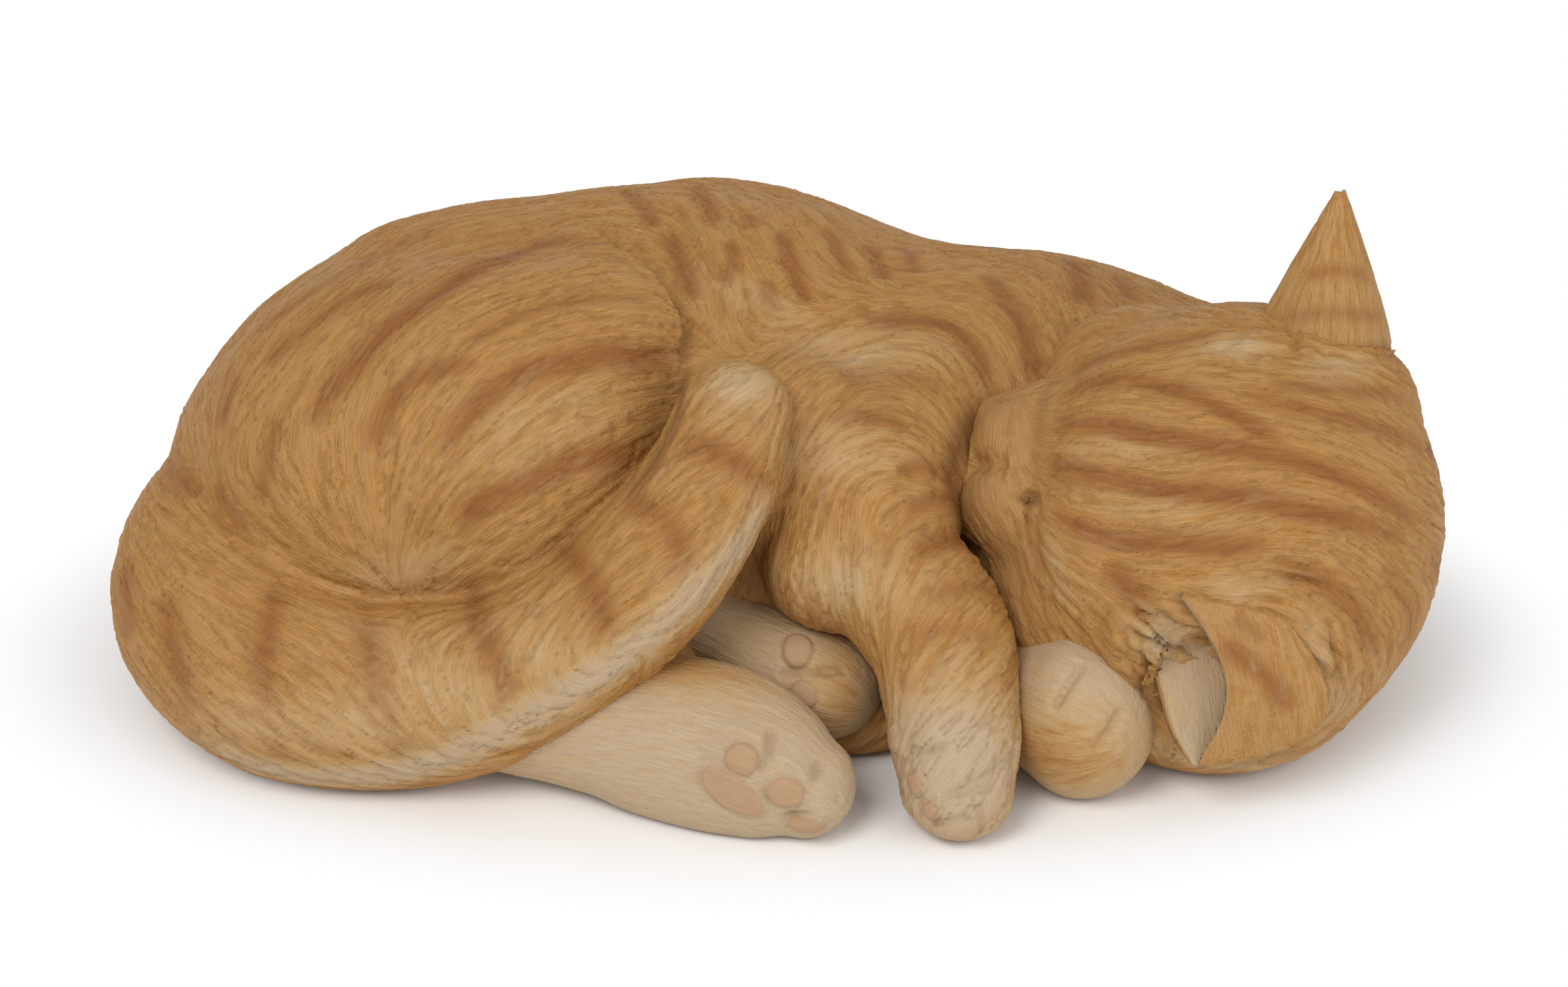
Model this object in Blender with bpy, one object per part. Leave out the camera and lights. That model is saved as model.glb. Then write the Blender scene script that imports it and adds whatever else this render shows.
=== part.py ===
"""Sleeping cat figurine: a hollow cast body with bonded head, ears, tail and paws.

The cat lies curled on its left side. +X runs from the rump to the head, -Y is the side that the
belly and the paws face, +Z is up. The origin is on the surface it stands on, under the middle of
the figure. The form is made as a modeller makes one: masses of clay are pressed together, fused
into one skin and relaxed. Each casting is then let into its neighbour with a film of adhesive
between them, so every seam follows a crease of the fur.
"""

import math
from collections import namedtuple

import bmesh
import bpy
import numpy as np
from mathutils import Matrix, Vector

# Castings and fits, in metres
WALL = 0.0050  # wall of the hollow body and head
JOINT_GAP = 0.0003  # adhesive film between castings that touch
UNDERSIDE = 0.0012  # height of the flat underside above the surface
DOWEL_RADIUS = 0.0042  # moulded dowels that locate the tail, the limbs and the ears
NECK_DIAMETER = 0.0360  # moulded tube that the head slides onto
NECK_BORE = 0.0220
NECK_SEAT = Vector((0.0790, 0.0330, 0.0420))
NECK_AXIS = Vector((0.53, -0.85, 0.02)).normalized()
NECK_IN_BODY = 0.0140
NECK_IN_HEAD = 0.0160

# Closing plate and felt
PLATE_THICK = 0.0050
PLATE_LENGTH = 0.1500
PLATE_WIDTH = 0.0580
PLATE_CENTRE = (-0.0220, 0.0260)
PLATE_LEDGE = 0.0050  # rim inside the mouth that the closing plate seats against
VENT_DIAMETER = 0.0080
FELT_DIAMETER = 0.0180
FELT_THICK = 0.0022
FELT_FROM_PLATE = 0.0030  # resin left between the closing plate and a pad at its end
FELT_REACH = PLATE_LENGTH / 2 + FELT_FROM_PLATE + FELT_DIAMETER / 2
Felt = namedtuple("Felt", "place casting")
FELTS = {
    "felt_pad_rear_left": Felt((PLATE_CENTRE[0] - FELT_REACH, 0.0340), "torso_shell"),
    "felt_pad_rear_right": Felt((PLATE_CENTRE[0] + FELT_REACH, 0.0400), "torso_shell"),
    "felt_pad_front_left": Felt((-0.0940, -0.0520), "tail"),
    "felt_pad_front_right": Felt((0.1020, -0.0300), "head_shell"),
}

# A mass is one ellipsoid of clay: its centre and its half axes
Mass = namedtuple("Mass", "centre radii")

# Trunk, from the rump to the neck: a run of rings along the spine and the masses pressed onto it
SPINE = (
    (-0.098, 0.016, 0.043, 0.053, 0.046),
    (-0.070, 0.021, 0.046, 0.062, 0.051),
    (-0.035, 0.026, 0.049, 0.0615, 0.0535),
    (0.000, 0.028, 0.048, 0.0590, 0.0520),
    (0.035, 0.029, 0.0450, 0.0560, 0.0405),
    (0.070, 0.030, 0.043, 0.0530, 0.0380),
    (0.096, 0.030, 0.039, 0.0430, 0.0330),
)
RUMP = Mass((-0.094, 0.010, 0.042), (0.053, 0.054, 0.046))
LOIN = Mass((-0.062, 0.026, 0.046), (0.066, 0.058, 0.054))
HIP = Mass((-0.088, -0.002, 0.054), (0.050, 0.048, 0.046))
RIBS = Mass((-0.016, 0.030, 0.050), (0.060, 0.056, 0.0545))
SADDLE = Mass((-0.040, 0.034, 0.066), (0.046, 0.036, 0.036))
CHEST = Mass((0.040, 0.026, 0.046), (0.056, 0.052, 0.041))
WITHERS = Mass((0.058, 0.034, 0.052), (0.038, 0.036, 0.033))
FLANK = Mass((-0.034, 0.022, 0.020), (0.110, 0.062, 0.026))
BREAST = Mass((0.062, 0.022, 0.020), (0.062, 0.050, 0.026))
BELLY = Mass((-0.010, -0.006, 0.034), (0.060, 0.034, 0.042))
GROIN = Mass((-0.040, -0.020, 0.018), (0.062, 0.034, 0.022))
THIGH = Mass((-0.066, -0.012, 0.061), (0.047, 0.042, 0.046))
KNEE = Mass((-0.050, -0.010, 0.076), (0.029, 0.028, 0.030))
SHOULDER = Mass((0.018, -0.030, 0.056), (0.024, 0.022, 0.027))
ARMPIT = Mass((0.002, -0.024, 0.062), (0.026, 0.020, 0.028))
NECK = Mass((0.086, 0.026, 0.040), (0.042, 0.044, 0.035))
TRUNK = (
    RUMP, LOIN, HIP, RIBS, SADDLE, CHEST, WITHERS, FLANK, BREAST, BELLY, GROIN, THIGH, KNEE, SHOULDER, ARMPIT, NECK,
)
BODY_HOLLOW = (RUMP, LOIN, RIBS, CHEST)

# A limb is a run of rings: centre x, y, z, half width across the lean and half height along it
UPPER_ARM = (
    (0.030, 0.004, 0.064, 0.022, 0.022),
    (0.026, -0.014, 0.062, 0.022, 0.021),
    (0.020, -0.029, 0.057, 0.021, 0.020),
    (0.016, -0.039, 0.050, 0.021, 0.018),
)
FORELEG = (
    (0.016, -0.036, 0.052, 0.018, 0.016),
    (0.026, -0.047, 0.046, 0.018, 0.016),
    (0.035, -0.056, 0.037, 0.017, 0.016),
    (0.038, -0.065, 0.026, 0.0155, 0.015),
    (0.039, -0.074, 0.016, 0.0145, 0.014),
    (0.040, -0.080, 0.010, 0.012, 0.011),
)
TAIL = (
    (-0.112, 0.014, 0.036, 0.026, 0.026),
    (-0.128, -0.008, 0.033, 0.0265, 0.0265),
    (-0.130, -0.031, 0.028, 0.0260, 0.0260),
    (-0.116, -0.048, 0.0220, 0.0240, 0.0240),
    (-0.092, -0.053, 0.0195, 0.0225, 0.0225),
    (-0.068, -0.056, 0.025, 0.0205, 0.0205),
    (-0.046, -0.057, 0.038, 0.0180, 0.0180),
    (-0.029, -0.055, 0.055, 0.0170, 0.0170),
    (-0.017, -0.047, 0.071, 0.0155, 0.0145),
    (-0.011, -0.038, 0.084, 0.0135, 0.0125),
)
RIGHT_HIND = (
    (-0.070, -0.056, 0.013, 0.010, 0.010),
    (-0.050, -0.060, 0.014, 0.013, 0.012),
    (-0.034, -0.064, 0.016, 0.018, 0.013),
    (-0.014, -0.070, 0.015, 0.0195, 0.014),
    (-0.001, -0.075, 0.012, 0.0165, 0.013),
    (0.006, -0.078, 0.010, 0.012, 0.010),
)
LEFT_HIND = (
    (-0.020, -0.036, 0.028, 0.011, 0.011),
    (-0.005, -0.042, 0.024, 0.013, 0.012),
    (0.010, -0.048, 0.019, 0.0135, 0.013),
)
LEFT_FORE = (
    (0.044, -0.030, 0.017, 0.014, 0.014),
    (0.056, -0.046, 0.017, 0.0155, 0.0155),
    (0.068, -0.060, 0.017, 0.0175, 0.0185),
)

# The elbow and the toes, pressed onto the limbs
ON_LIMBS = {
    "right_foreleg": (
        Mass((0.0120, -0.0430, 0.0480), (0.0175, 0.0140, 0.0165)),
        Mass((0.0315, -0.0770, 0.0095), (0.0055, 0.0090, 0.0070)),
        Mass((0.0365, -0.0825, 0.0090), (0.0055, 0.0090, 0.0072)),
        Mass((0.0425, -0.0825, 0.0090), (0.0055, 0.0090, 0.0072)),
        Mass((0.0475, -0.0765, 0.0095), (0.0052, 0.0090, 0.0070)),
    ),
    "right_hind_foot": (
        Mass((0.0045, -0.0680, 0.0215), (0.0085, 0.0070, 0.0060)),
        Mass((0.0085, -0.0740, 0.0150), (0.0085, 0.0070, 0.0060)),
        Mass((0.0080, -0.0795, 0.0085), (0.0085, 0.0065, 0.0060)),
        Mass((0.0030, -0.0825, 0.0050), (0.0080, 0.0055, 0.0050)),
    ),
    "left_hind_foot": (
        Mass((0.0125, -0.0450, 0.0255), (0.0085, 0.0070, 0.0060)),
        Mass((0.0150, -0.0500, 0.0190), (0.0085, 0.0070, 0.0060)),
        Mass((0.0125, -0.0520, 0.0120), (0.0080, 0.0065, 0.0060)),
    ),
    "left_forepaw": (
        Mass((0.0630, -0.0675, 0.0255), (0.0085, 0.0085, 0.0080)),
        Mass((0.0705, -0.0680, 0.0210), (0.0080, 0.0090, 0.0085)),
        Mass((0.0760, -0.0655, 0.0145), (0.0080, 0.0090, 0.0080)),
    ),
}

# Dowels: the end in the casting that carries it and the end in its neighbour
DOWELS = {
    "tail": ((-0.112, 0.014, 0.036), (-0.092, 0.030, 0.040)),
    "right_foreleg": ((0.020, -0.040, 0.050), (0.008, -0.014, 0.058)),
    "left_forepaw": ((0.044, -0.030, 0.017), (0.032, -0.006, 0.021)),
    "right_hind_foot": ((-0.040, -0.060, 0.017), (-0.040, -0.032, 0.022)),
    "left_hind_foot": ((-0.020, -0.036, 0.028), (-0.034, -0.014, 0.030)),
}

# Head, in its own axes: n towards the nose, r towards the right ear, c towards the crown
HEAD_CENTRE = Vector((0.1035, -0.0285, 0.049))
HEAD_NOSE = Vector((-0.955, 0.130, 0.270)).normalized()
HEAD_CROWN = Vector((0.071, -0.677, 0.728)).normalized()
SKULL = Mass((0.000, 0.000, 0.000), (0.049, 0.054, 0.040))
CHEEK_RIGHT = Mass((0.020, 0.025, -0.010), (0.032, 0.026, 0.026))
CHEEK_LEFT = Mass((0.020, -0.025, -0.010), (0.032, 0.026, 0.026))
BROW = Mass((0.026, 0.000, 0.012), (0.022, 0.038, 0.020))
BRIDGE = Mass((0.045, 0.000, -0.002), (0.021, 0.017, 0.014))
WHISKER_RIGHT = Mass((0.0565, 0.0060, -0.0050), (0.0115, 0.0100, 0.0115))
WHISKER_LEFT = Mass((0.0575, -0.0095, -0.0050), (0.0120, 0.0100, 0.0115))
JAW_RIGHT = Mass((0.038, 0.014, -0.018), (0.016, 0.014, 0.012))
JAW_LEFT = Mass((0.042, -0.017, -0.018), (0.016, 0.014, 0.012))
CHIN = Mass((0.052, 0.000, -0.023), (0.012, 0.011, 0.009))
STOP = Mass((0.044, -0.002, 0.000), (0.020, 0.024, 0.018))
HEAD_MASSES = (
    SKULL, CHEEK_RIGHT, CHEEK_LEFT, BROW, BRIDGE, WHISKER_RIGHT, WHISKER_LEFT, JAW_RIGHT, JAW_LEFT, CHIN, STOP,
)
NAPE = Mass((0.105, -0.008, 0.042), (0.045, 0.050, 0.044))
RUFF = Mass((0.100, -0.037, 0.020), (0.037, 0.034, 0.025))
POLL = Mass((0.125, -0.012, 0.072), (0.023, 0.022, 0.021))
HEAD_HOLLOW = (RUFF, NAPE)

# Ears: where the root ends inside the head, the middle of the open cup at its base, and its tip.
# Across points from there to the near rim, and back to the middle of the cup's back.
Ear = namedtuple("Ear", "root base tip across back")
RIGHT_EAR = Ear(
    root=(0.1227, -0.0039, 0.0760),
    base=(0.1237, -0.0030, 0.0865),
    tip=(0.1270, 0.0000, 0.1215),
    across=(-0.0149, -0.0089, 0.0022),
    back=(0.0085, -0.0141, 0.0004),
)
LEFT_EAR = Ear(
    root=(0.0980, -0.0520, 0.0580),
    base=(0.0903, -0.0746, 0.0463),
    tip=(0.0989, -0.0760, 0.0164),
    across=(0.0013, -0.0046, 0.0115),
    back=(0.0240, -0.0004, -0.0069),
)
EAR_WALL = 0.0022
EAR_TAPER = 1.1  # above 1 the sides of the ear bow outwards
EAR_TIP = 0.08  # size of the tip, as a share of the base
EAR_WRAP = math.radians(100)  # how far the cup reaches round to each side
EAR_MOUTH = 0.40  # how far the head is cut back before the opening, as a share of the cup's depth
EAR_RINGS = 9
EAR_SIDES = 12

# Clay: the grain that a form is fused at, the strokes that relax it, and the faces it is left with
Clay = namedtuple("Clay", "grain relax faces")
CLAY = {
    "torso_shell": Clay(0.0030, 20, 2350),
    "head_shell": Clay(0.0020, 8, 1800),
    "tail": Clay(0.0016, 2, 800),
    "right_foreleg": Clay(0.0016, 2, 720),
    "left_forepaw": Clay(0.0016, 2, 460),
    "right_hind_foot": Clay(0.0016, 2, 760),
    "left_hind_foot": Clay(0.0016, 2, 480),
    "hollow": Clay(0.0050, 4, 260),
    "stand_off": Clay(0.0040, 4, 300),
}
WELD = 0.00001  # points closer than this are one point
CAP_END = math.radians(88)  # the last ring of a round end stops just short of its pole
HIND_SOLE = Vector((0, -0.87, 0.50))  # the way the sole of the right hind foot leans back

MATERIALS = {
    "torso_shell": ("painted_resin_body", (0.56, 0.33, 0.13), 0.55),
    "head_shell": ("painted_resin_head", (0.58, 0.35, 0.14), 0.55),
    "right_ear": ("painted_resin_ear", (0.66, 0.45, 0.24), 0.55),
    "left_ear": ("painted_resin_ear", (0.66, 0.45, 0.24), 0.55),
    "tail": ("painted_resin_tail", (0.60, 0.37, 0.16), 0.55),
    "right_foreleg": ("painted_resin_leg", (0.60, 0.38, 0.18), 0.55),
    "left_forepaw": ("painted_resin_paw", (0.72, 0.55, 0.36), 0.55),
    "right_hind_foot": ("painted_resin_sole", (0.76, 0.62, 0.45), 0.55),
    "left_hind_foot": ("painted_resin_sole", (0.76, 0.62, 0.45), 0.55),
    "base_plate": ("unpainted_resin", (0.62, 0.58, 0.50), 0.75),
    "felt": ("felt", (0.08, 0.07, 0.06), 0.95),
}


def clear_scene():
    for obj in list(bpy.data.objects):
        bpy.data.objects.remove(obj, do_unlink=True)


def new_object(name, bm):
    mesh = bpy.data.meshes.new(name)
    bm.to_mesh(mesh)
    bm.free()
    obj = bpy.data.objects.new(name, mesh)
    bpy.context.scene.collection.objects.link(obj)
    return obj


def as_tool(obj):
    obj.hide_render = True
    obj.display_type = "WIRE"
    return obj


def apply_modifiers(obj):
    depsgraph = bpy.context.evaluated_depsgraph_get()
    mesh = bpy.data.meshes.new_from_object(obj.evaluated_get(depsgraph))
    old = obj.data
    obj.modifiers.clear()
    obj.data = mesh
    bpy.data.meshes.remove(old)


def press_mass(bm, mass, shrink=0.0, origin=Vector((0, 0, 0)), axes=Matrix.Identity(3)):
    """Adds one ellipsoid, in the axes given, each half axis shorter by shrink."""
    centre = origin + axes @ Vector(mass.centre)
    stretch = Matrix.Diagonal([radius - shrink for radius in mass.radii])
    shape = Matrix.Translation(centre) @ (axes @ stretch).to_4x4()
    bmesh.ops.create_icosphere(bm, subdivisions=4, radius=1.0, matrix=shape)


def spline(stations, steps):
    """Points on one smooth curve through the stations."""
    rows = [np.array(row) for row in stations]
    rows = [2 * rows[0] - rows[1]] + rows + [2 * rows[-1] - rows[-2]]
    path = []
    for before, start, end, after in zip(rows, rows[1:], rows[2:], rows[3:]):
        for step in range(steps):
            t = step / steps
            bend = (2 * before - 5 * start + 4 * end - after) * t * t
            twist = (3 * start - before - 3 * end + after) * t**3
            path.append(0.5 * (2 * start + (end - before) * t + bend + twist))
    path.append(rows[-2])
    return path


def press_limb(bm, stations, lean=Vector((0, 0, 1)), sides=28, steps=6, cap_rings=5):
    """Adds a tube through the stations, rounded at both ends."""
    path = spline(stations, steps)
    points = [Vector(row[:3]) for row in path]
    tangents = []
    for index in range(len(points)):
        ahead = points[min(index + 1, len(points) - 1)]
        behind = points[max(index - 1, 0)]
        tangents.append((ahead - behind).normalized())
    rings = []
    for end, sign in ((0, -1), (len(path) - 1, 1)):
        cap = []
        for step in range(1, cap_rings + 1):
            angle = CAP_END * step / cap_rings
            reach = min(path[end][3:5]) * math.sin(angle)
            centre = points[end] + tangents[end] * reach * sign
            cap.append((centre, tangents[end], path[end][3:5] * math.cos(angle)))
        rings.append(cap)
    body = [(point, tangent, row[3:5]) for point, tangent, row in zip(points, tangents, path)]
    rows = list(reversed(rings[0])) + body + rings[1]
    loops = []
    for centre, tangent, (width, height) in rows:
        side = tangent.cross(lean).normalized()
        upright = side.cross(tangent)
        loop = []
        for index in range(sides):
            angle = 2 * math.pi * index / sides
            across = side * width * math.cos(angle)
            along = upright * height * math.sin(angle)
            loop.append(bm.verts.new(centre + across + along))
        loops.append(loop)
    for low, high in zip(loops, loops[1:]):
        for index in range(sides):
            following = (index + 1) % sides
            bm.faces.new((low[index], low[following], high[following], high[index]))
    bm.faces.new(list(reversed(loops[0])))
    bm.faces.new(loops[-1])


def fuse(name, bm, kind):
    """Fuses what overlaps into one skin, relaxes it and leaves about the given number of faces."""
    bmesh.ops.recalc_face_normals(bm, faces=bm.faces)
    return reskin(new_object(name, bm), kind)


def reskin(obj, kind):
    grain, relax, faces = CLAY[kind]
    remesh = obj.modifiers.new("fuse", "REMESH")
    remesh.mode = "VOXEL"
    remesh.voxel_size = grain
    smooth = obj.modifiers.new("relax", "SMOOTH")
    smooth.factor = 0.5
    smooth.iterations = relax
    apply_modifiers(obj)
    count = 2 * len(obj.data.polygons)
    decimate = obj.modifiers.new("thin", "DECIMATE")
    decimate.ratio = min(1.0, faces / count)
    decimate.use_collapse_triangulate = True
    apply_modifiers(obj)
    return obj


def copied(obj, name):
    twin = bpy.data.objects.new(name, obj.data.copy())
    bpy.context.scene.collection.objects.link(twin)
    return twin


def inflated(obj, clearance=JOINT_GAP):
    """A cutter of the same form, larger all round by the clearance."""
    cutter = as_tool(copied(obj, obj.name + "_clearance"))
    grow = cutter.modifiers.new("grow", "DISPLACE")
    grow.strength = clearance
    grow.mid_level = 0.0
    apply_modifiers(cutter)
    return cutter


def combine(target, tool, operation="DIFFERENCE"):
    boolean = target.modifiers.new(operation.lower(), "BOOLEAN")
    boolean.operation = operation
    boolean.solver = "EXACT"
    boolean.object = tool
    apply_modifiers(target)


def trim_offcuts(obj):
    """Keeps the casting itself and clears away the crumbs that a cut leaves loose."""
    bm = bmesh.new()
    bm.from_mesh(obj.data)
    bmesh.ops.remove_doubles(bm, verts=bm.verts, dist=WELD)
    bmesh.ops.dissolve_degenerate(bm, edges=bm.edges, dist=WELD)
    bmesh.ops.triangulate(bm, faces=bm.faces)
    left = set(bm.faces)
    bodies = []
    while left:
        stack = [left.pop()]
        body = list(stack)
        while stack:
            face = stack.pop()
            for edge in face.edges:
                for neighbour in edge.link_faces:
                    if neighbour in left:
                        left.remove(neighbour)
                        stack.append(neighbour)
                        body.append(neighbour)
        bodies.append(body)
    bodies.sort(key=len)
    loose = [face for body in bodies[:-1] for face in body]
    bmesh.ops.delete(bm, geom=loose, context="FACES")
    bm.to_mesh(obj.data)
    bm.free()


def block(name, low, high):
    bm = bmesh.new()
    size = Vector(high) - Vector(low)
    middle = (Vector(high) + Vector(low)) / 2
    bmesh.ops.create_cube(bm, size=1.0, matrix=Matrix.Translation(middle) @ Matrix.Diagonal((*size, 1.0)))
    return as_tool(new_object(name, bm))


def below(obj, level):
    """A block that takes in all of the form below a level."""
    points = np.array([vertex.co[:] for vertex in obj.data.vertices])
    low = points.min(axis=0) - WALL
    high = points.max(axis=0) + WALL
    return block(obj.name + "_floor", low, (high[0], high[1], level))


def rod(name, start, end, diameter, sides=24):
    start = Vector(start)
    end = Vector(end)
    bm = bmesh.new()
    turn = (end - start).to_track_quat("Z", "Y").to_matrix().to_4x4()
    place = Matrix.Translation((start + end) / 2) @ turn
    bmesh.ops.create_cone(
        bm, cap_ends=True, segments=sides, radius1=diameter / 2, radius2=diameter / 2,
        depth=(end - start).length, matrix=place,
    )
    return as_tool(new_object(name, bm))


def stadium(name, centre, length, width, low, high, sides=12):
    """An upright slab with round ends, long in X."""
    radius = width / 2
    reach = length / 2 - radius
    bm = bmesh.new()
    rim = []
    for end, start_angle in ((1, -90), (-1, 90)):
        for step in range(sides + 1):
            angle = math.radians(start_angle + 180 * step / sides)
            x = centre[0] + end * reach + radius * math.cos(angle)
            y = centre[1] + radius * math.sin(angle)
            rim.append(bm.verts.new((x, y, low)))
    face = bm.faces.new(rim)
    top = bmesh.ops.extrude_face_region(bm, geom=[face])
    verts = [item for item in top["geom"] if isinstance(item, bmesh.types.BMVert)]
    bmesh.ops.translate(bm, verts=verts, vec=(0, 0, high - low))
    bmesh.ops.recalc_face_normals(bm, faces=bm.faces)
    return new_object(name, bm)


def head_axes():
    right = HEAD_NOSE.cross(HEAD_CROWN).normalized()
    crown = right.cross(HEAD_NOSE)
    return Matrix((HEAD_NOSE, right, crown)).transposed()


def make_trunk():
    bm = bmesh.new()
    for mass in TRUNK:
        press_mass(bm, mass)
    press_limb(bm, SPINE, sides=40)
    press_limb(bm, UPPER_ARM)
    return fuse("torso_shell", bm, "torso_shell")


def make_head():
    bm = bmesh.new()
    for mass in HEAD_MASSES:
        press_mass(bm, mass, origin=HEAD_CENTRE, axes=head_axes())
    press_mass(bm, NAPE)
    press_mass(bm, RUFF)
    press_mass(bm, POLL)
    return fuse("head_shell", bm, "head_shell")


def make_limb(name, stations, lean=Vector((0, 0, 1))):
    bm = bmesh.new()
    press_limb(bm, stations, lean)
    dowel = [(*point, DOWEL_RADIUS, DOWEL_RADIUS) for point in DOWELS[name]]
    press_limb(bm, dowel, sides=12)
    for mass in ON_LIMBS.get(name, ()):
        press_mass(bm, mass)
    return fuse(name, bm, name)


def loft(name, loops):
    """A closed solid through loops of points, all with the same count."""
    bm = bmesh.new()
    rows = [[bm.verts.new(point) for point in loop] for loop in loops]
    for low, high in zip(rows, rows[1:]):
        for index, corner in enumerate(low):
            following = (index + 1) % len(low)
            bm.faces.new((corner, low[following], high[following], high[index]))
    bm.faces.new(list(reversed(rows[0])))
    bm.faces.new(rows[-1])
    bmesh.ops.recalc_face_normals(bm, faces=bm.faces)
    return new_object(name, bm)


def ear_sections(ear):
    """Middle and relative size of each section of an ear, from its root to its tip."""
    base, tip = Vector(ear.base), Vector(ear.tip)
    sections = [(Vector(ear.root), 1.0)]
    for ring in range(EAR_RINGS):
        rise = ring / (EAR_RINGS - 1)
        sections.append((base.lerp(tip, rise), EAR_TIP + (1 - EAR_TIP) * (1 - rise ** EAR_TAPER)))
    return sections


def ear_arc(ear, centre, size, depth):
    """Points round an ear's cup, from rim to rim, at a depth in its wall given as a share of it."""
    across, back = Vector(ear.across), Vector(ear.back)
    inset = depth * min(EAR_WALL, across.length * size / 2)
    wide = across * (size - inset / across.length)
    deep = back * (size - inset / back.length)
    angles = [EAR_WRAP * (2 * side / EAR_SIDES - 1) for side in range(EAR_SIDES + 1)]
    return [centre + wide * math.sin(angle) + deep * math.cos(angle) for angle in angles]


def make_ear(name, ear):
    """A pointed cup with one open side, let into the head at its root."""
    loops = [
        ear_arc(ear, centre, size, 0) + list(reversed(ear_arc(ear, centre, size, 1)))
        for centre, size in ear_sections(ear)
    ]
    return loft(name, loops)


def make_cup(name, ear):
    """The space in an ear and before its open side, which the head leaves free."""
    loops = [
        ear_arc(ear, centre, size, 0.5) + [centre - Vector(ear.back) * EAR_MOUTH * size]
        for centre, size in ear_sections(ear)[1:]
    ]
    return as_tool(loft(name, loops))


def make_hollow(name, masses, floor):
    """The space inside a casting: its masses less a wall, and nothing below its floor."""
    bm = bmesh.new()
    for mass in masses:
        press_mass(bm, mass, shrink=WALL)
    hollow = as_tool(fuse(name, bm, "hollow"))
    combine(hollow, below(hollow, floor))
    return hollow


# Which casting yields to which: the first is let into the second
YIELDS = (
    ("head_shell", "left_forepaw"),
    ("head_shell", "right_ear"),
    ("head_shell", "left_ear"),
    ("right_foreleg", "head_shell"),
    ("left_forepaw", "right_foreleg"),
    ("right_hind_foot", "tail"),
    ("left_hind_foot", "right_hind_foot"),
    ("left_hind_foot", "tail"),
    ("left_hind_foot", "right_foreleg"),
    ("torso_shell", "head_shell"),
    ("torso_shell", "tail"),
    ("torso_shell", "right_foreleg"),
    ("torso_shell", "left_forepaw"),
    ("torso_shell", "right_hind_foot"),
    ("torso_shell", "left_hind_foot"),
)


def hollow_castings(castings, cups):
    """The spaces inside the body and the head, each a wall away from every socket and ear."""
    ledge_top = UNDERSIDE + PLATE_THICK + PLATE_LEDGE
    hollows = {
        "torso_shell": make_hollow("body_hollow", BODY_HOLLOW, ledge_top),
        "head_shell": make_hollow("head_hollow", HEAD_HOLLOW, UNDERSIDE + WALL),
    }
    for loser, winner in YIELDS:
        if loser in hollows:
            stand_off = reskin(inflated(castings[winner], WALL), "stand_off")
            combine(hollows[loser], stand_off)
    for cup in cups:
        combine(hollows["head_shell"], reskin(inflated(cup, WALL), "stand_off"))
    for hollow in hollows.values():
        trim_offcuts(hollow)
    return hollows["torso_shell"], hollows["head_shell"]


def let_in(castings):
    clearances = {name: inflated(obj) for name, obj in castings.items()}
    for loser, winner in YIELDS:
        combine(castings[loser], clearances[winner])


def join_neck(torso, head, body_hollow, head_hollow):
    start = NECK_SEAT - NECK_AXIS * NECK_IN_BODY
    end = NECK_SEAT + NECK_AXIS * NECK_IN_HEAD
    past_start = start - NECK_AXIS * NECK_IN_BODY
    past_end = end + NECK_AXIS * JOINT_GAP
    combine(torso, rod("neck_tube", start, end, NECK_DIAMETER), "UNION")
    combine(torso, body_hollow)
    combine(torso, rod("neck_bore", past_start, end + NECK_AXIS * WALL, NECK_BORE))
    combine(head, head_hollow)
    combine(head, rod("neck_socket", start, past_end, NECK_DIAMETER + 2 * JOINT_GAP))


def trim_underside(castings):
    for obj in castings.values():
        if min(vertex.co.z for vertex in obj.data.vertices) < UNDERSIDE:
            combine(obj, below(obj, UNDERSIDE))


def make_base_plate(torso):
    """The closing plate and the stepped mouth that it seats in."""
    pocket = stadium(
        "plate_pocket", PLATE_CENTRE, PLATE_LENGTH + 2 * JOINT_GAP, PLATE_WIDTH + 2 * JOINT_GAP,
        -UNDERSIDE, UNDERSIDE + PLATE_THICK + JOINT_GAP,
    )
    mouth = stadium(
        "mouth", PLATE_CENTRE, PLATE_LENGTH - 2 * PLATE_LEDGE, PLATE_WIDTH - 2 * PLATE_LEDGE,
        -UNDERSIDE, UNDERSIDE + PLATE_THICK + 2 * PLATE_LEDGE,
    )
    combine(torso, as_tool(mouth))
    combine(torso, as_tool(pocket))
    plate = stadium(
        "base_plate", PLATE_CENTRE, PLATE_LENGTH, PLATE_WIDTH, UNDERSIDE, UNDERSIDE + PLATE_THICK
    )
    x, y = PLATE_CENTRE
    combine(plate, rod("vent", (x, y, -PLATE_THICK), (x, y, 3 * PLATE_THICK), VENT_DIAMETER))
    return plate


def make_felt(name, felt, castings):
    x, y = felt.place
    top = FELT_THICK + JOINT_GAP
    recess = rod(name + "_recess", (x, y, -FELT_THICK), (x, y, top), FELT_DIAMETER + 2 * JOINT_GAP)
    combine(castings[felt.casting], recess)
    pad = rod(name, (x, y, 0), (x, y, FELT_THICK), FELT_DIAMETER)
    pad.hide_render = False
    pad.display_type = "TEXTURED"
    return pad


def paint(obj):
    kind = "felt" if obj.name.startswith("felt") else obj.name
    name, colour, roughness = MATERIALS[kind]
    material = bpy.data.materials.get(name)
    if material is None:
        material = bpy.data.materials.new(name)
        material.use_nodes = True
        shader = material.node_tree.nodes["Principled BSDF"]
        shader.inputs["Base Color"].default_value = (*colour, 1.0)
        shader.inputs["Roughness"].default_value = roughness
    obj.data.materials.clear()
    obj.data.materials.append(material)


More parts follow.
